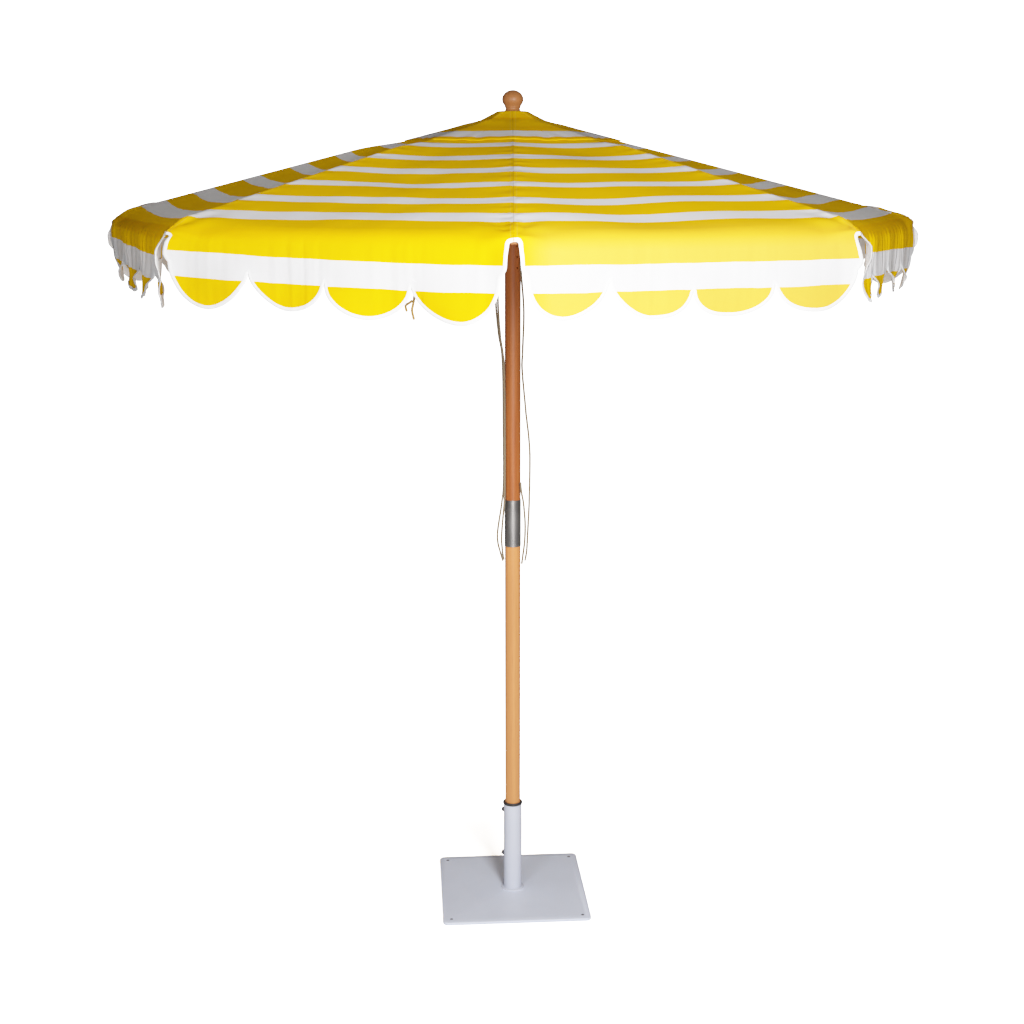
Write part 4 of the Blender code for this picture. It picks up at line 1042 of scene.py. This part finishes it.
def build_shaded_hem_tie():
    """The loose ends of a narrow tie, sewn behind a cusp of the front left valance; their dark
    golden brown is painted shade, standing in for yellow cloth in shadow.
    """
    sheet = Cloth()
    for run in (
        [(0.2165, 0.120), (0.215, 0.150), (0.211, 0.172), (0.208, 0.187), (0.213, 0.2095)],
        [(0.209, 0.163), (0.198, 0.170), (0.190, 0.176), (0.1935, 0.190)],
    ):
        spots = np.array([(w, q, 0.0) for w, q in run])
        path = spline(spots, 0.004)
        behind = cloth_point(8, path[:, 0], np.minimum(path[:, 1], 0.05))
        inward = -axes(mid_turn(8))[0]
        behind[:, 2] = EDGE_Z - path[:, 1]
        tube(sheet, behind + 0.022 * inward, 0.0030, twist=300.0)
    obj = sheet.piece("shaded_hem_tie", [SHADED_TIE_TAPE])
    settle(obj, "valance_8")
    folds_flat(obj)


build_ropes()
build_shaded_hem_tie()


# ---------------------------------------------------------------------------
# Small sewn and welded details
# ---------------------------------------------------------------------------
def build_pocket(k):
    """The canvas pocket under the canopy's corner that the rib's end sits in."""
    out, side = axes(rib_turn(k))
    pitch = math.atan(SLOPE)
    along = out * math.cos(pitch) + np.array([0, 0, -math.sin(pitch)])
    up = np.cross(along, side)
    up = up if up[2] > 0 else -up
    origin = out * -HINGE.y + [0, 0, HINGE.z]
    length = (abs(RIB_LOW.y) - abs(HINGE.y)) / math.cos(pitch)
    sheet = Cloth()
    rows, marks = [], []
    stations = np.concatenate([np.linspace(-0.085, -0.016, 12), [-0.0155, -0.0165, -0.030]])
    for i, s in enumerate(stations):
        close = 1.0 if i < 12 else (0.97, 0.94, 0.93)[i - 12]
        angles = np.linspace(0, 2 * math.pi, 25)
        half_w, half_h = 0.0088, 0.0122
        shape_w = np.sign(np.cos(angles)) * np.abs(np.cos(angles)) ** 0.45 * half_w * close
        shape_h = np.sign(np.sin(angles)) * np.abs(np.sin(angles)) ** 0.45 * half_h * close
        pucker = 1 + 0.03 * np.sin(angles * 5 + s * 160)
        centre = origin + along * (length + s)
        ring = centre + (shape_w * pucker)[:, None] * side + (shape_h * pucker)[:, None] * up
        rows.append(ring)
        marks.append(np.stack([angles * 0.01, np.full(25, 0.02 + s), np.full(25, 0.5)], 1))
    sheet.grid(np.stack(rows), np.stack(marks))
    obj = sheet.piece(f"rib_pocket_{k}", [BINDING])
    settle(obj, f"rib_{k}")


def build_tack(k):
    """A cross of stitches over the slit, where the pocket is sewn through the canopy."""
    sheet = Cloth()
    for panel, sign in ((k, -1), (k - 1 or SECTORS, 1)):
        for low, high in ((0.004, 0.020), (0.020, 0.004)):
            w = sign * (CREASE_HALF - np.linspace(0.0015, 0.008, 5))
            q = -np.linspace(low, high, 5)
            lifted = cloth_point(panel, w, q) + cloth_normals(panel, w, q) * 0.0005
            tube(sheet, lifted, 0.0005, sides=6)
    obj = sheet.piece(f"corner_tack_{k}", [POCKET_CANVAS])
    settle(obj, f"rib_{k}")


def build_weld():
    """The bead of weld round the foot of the tube."""
    low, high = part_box("base_flange")
    radius = (high.x - low.x) / 2
    sheet = Cloth()
    dice = np.random.default_rng(5)
    lumps = dice.uniform(-1, 1, 60)
    rows, marks = [], []
    count = 180
    for i in range(count + 1):
        turn = 2 * math.pi * i / count
        lump = 0.0004 * np.interp(i / count * 60, range(60), lumps)
        reach = 0.0030 + (0.00035 * math.sin(turn * 46) + lump)
        out, _ = axes(turn)
        ring = []
        for a in np.linspace(-0.35, 1.9, 9):
            height = low.z + 0.0008 + reach * math.sin(a)
            ring.append(out * (radius - 0.0026 + reach * math.cos(a)) + [0, 0, height])
        rows.append(ring)
        marks.append([[turn, a, 0] for a in range(9)])
    sheet.grid(np.array(rows), np.array(marks, float))
    obj = sheet.piece("weld_bead", [COAT])
    settle(obj, "stand")


for number in range(1, SECTORS + 1):
    build_pocket(number)
    build_tack(number)
build_weld()


# ---------------------------------------------------------------------------
# Studio: floor, lights, camera, tone curve
# ---------------------------------------------------------------------------
# The floor glows for the camera beyond GLOW_START metres, and a little for every other ray
GLOW_START, BACKDROP_GLOW, FLOOR_BOUNCE = 0.55, 5.0, 0.18
AMBIENT, BACKDROP = 0.075, 6.0
FOCAL_PIXELS, FRAME_PIXELS, SENSOR = 1504.7, 1024, 36.0
CAMERA_PLACE = (-0.01, -4.877, 2.4705)
CAMERA_TILT, CAMERA_PAN = 90 - 12.78, -0.09


def build_floor():
    bm = bmesh.new()
    bmesh.ops.create_grid(bm, x_segments=1, y_segments=1, size=60)
    mesh = bpy.data.meshes.new("studio_floor")
    bm.to_mesh(mesh)
    bm.free()
    obj = bpy.data.objects.new("studio_floor", mesh)
    bpy.context.scene.collection.objects.link(obj)
    s = Shader("studio_floor")
    seen = s.add("LightPath")
    bright = s.mix(seen, grey(0.80), grey(7.0))
    away = s.add("VectorMath", {0: s.object_place()}, out=1, operation="LENGTH")
    far = s.times(s.minus(away, GLOW_START), 3.0, clamp=True)
    glow = s.times(s.times(far, seen), BACKDROP_GLOW)
    glow = s.plus(glow, s.times(s.minus(1.0, seen), FLOOR_BOUNCE))
    lit = s.add("BsdfDiffuse", {"Color": bright})
    shine = s.add("Emission", {"Color": grey(1.0), "Strength": glow})
    mesh.materials.append(s.finish(s.add("AddShader", {0: lit, 1: shine})))


def softbox(name, place, aim, size, power):
    light = bpy.data.lights.new(name, "AREA")
    light.shape = "RECTANGLE"
    light.size, light.size_y = size
    light.energy = power
    obj = bpy.data.objects.new(name, light)
    obj.location = place
    obj.rotation_euler = (Vector(aim) - Vector(place)).to_track_quat("-Z", "Y").to_euler()
    obj.visible_camera = False
    bpy.context.scene.collection.objects.link(obj)


def build_lights():
    softbox("softbox_left", (-1.10, -2.60, 2.66), (0, 0, 2.3), (0.6, 0.8), 36)
    softbox("softbox_right", (0.75, -2.95, 2.64), (0, 0, 2.3), (0.7, 0.9), 150)
    softbox("softbox_low", (0.20, -3.30, 1.15), (0, 0, 0.5), (1.4, 0.7), 50)
    world = bpy.data.worlds.new("studio")
    world.use_nodes = True
    tree = world.node_tree
    tree.nodes.clear()
    out = tree.nodes.new("ShaderNodeOutputWorld")
    seen = tree.nodes.new("ShaderNodeLightPath")
    ambient = tree.nodes.new("ShaderNodeBackground")
    ambient.inputs[1].default_value = AMBIENT
    backdrop = tree.nodes.new("ShaderNodeBackground")
    backdrop.inputs[1].default_value = BACKDROP
    for node in (ambient, backdrop):
        node.inputs[0].default_value = (1, 1, 1, 1)
    choose = tree.nodes.new("ShaderNodeMixShader")
    tree.links.new(seen.outputs["Is Camera Ray"], choose.inputs[0])
    tree.links.new(ambient.outputs[0], choose.inputs[1])
    tree.links.new(backdrop.outputs[0], choose.inputs[2])
    tree.links.new(choose.outputs[0], out.inputs[0])
    bpy.context.scene.world = world


def build_camera():
    data = bpy.data.cameras.new("camera")
    data.sensor_width = SENSOR
    data.lens = FOCAL_PIXELS / FRAME_PIXELS * SENSOR
    data.clip_end = 200
    obj = bpy.data.objects.new("camera", data)
    obj.location = CAMERA_PLACE
    obj.rotation_euler = (math.radians(CAMERA_TILT), 0, math.radians(CAMERA_PAN))
    bpy.context.scene.collection.objects.link(obj)
    bpy.context.scene.camera = obj


def tone_curve():
    """A soft shoulder, so that the brightest cloth keeps its folds beside the dark side panels."""
    view = bpy.context.scene.view_settings
    view.view_transform = "Standard"
    view.use_curve_mapping = True
    curves = view.curve_mapping
    top = 4.0
    curves.white_level = (top, top, top)
    curve = curves.curves[3]
    levels = [0.05, 0.1, 0.16, 0.24, 0.34, 0.46, 0.6, 0.78]
    full = 1 - math.exp(-top)
    for level in levels:
        curve.points.new(level, (1 - math.exp(-top * level)) / full)
    curves.update()


build_floor()
build_lights()
build_camera()
tone_curve()
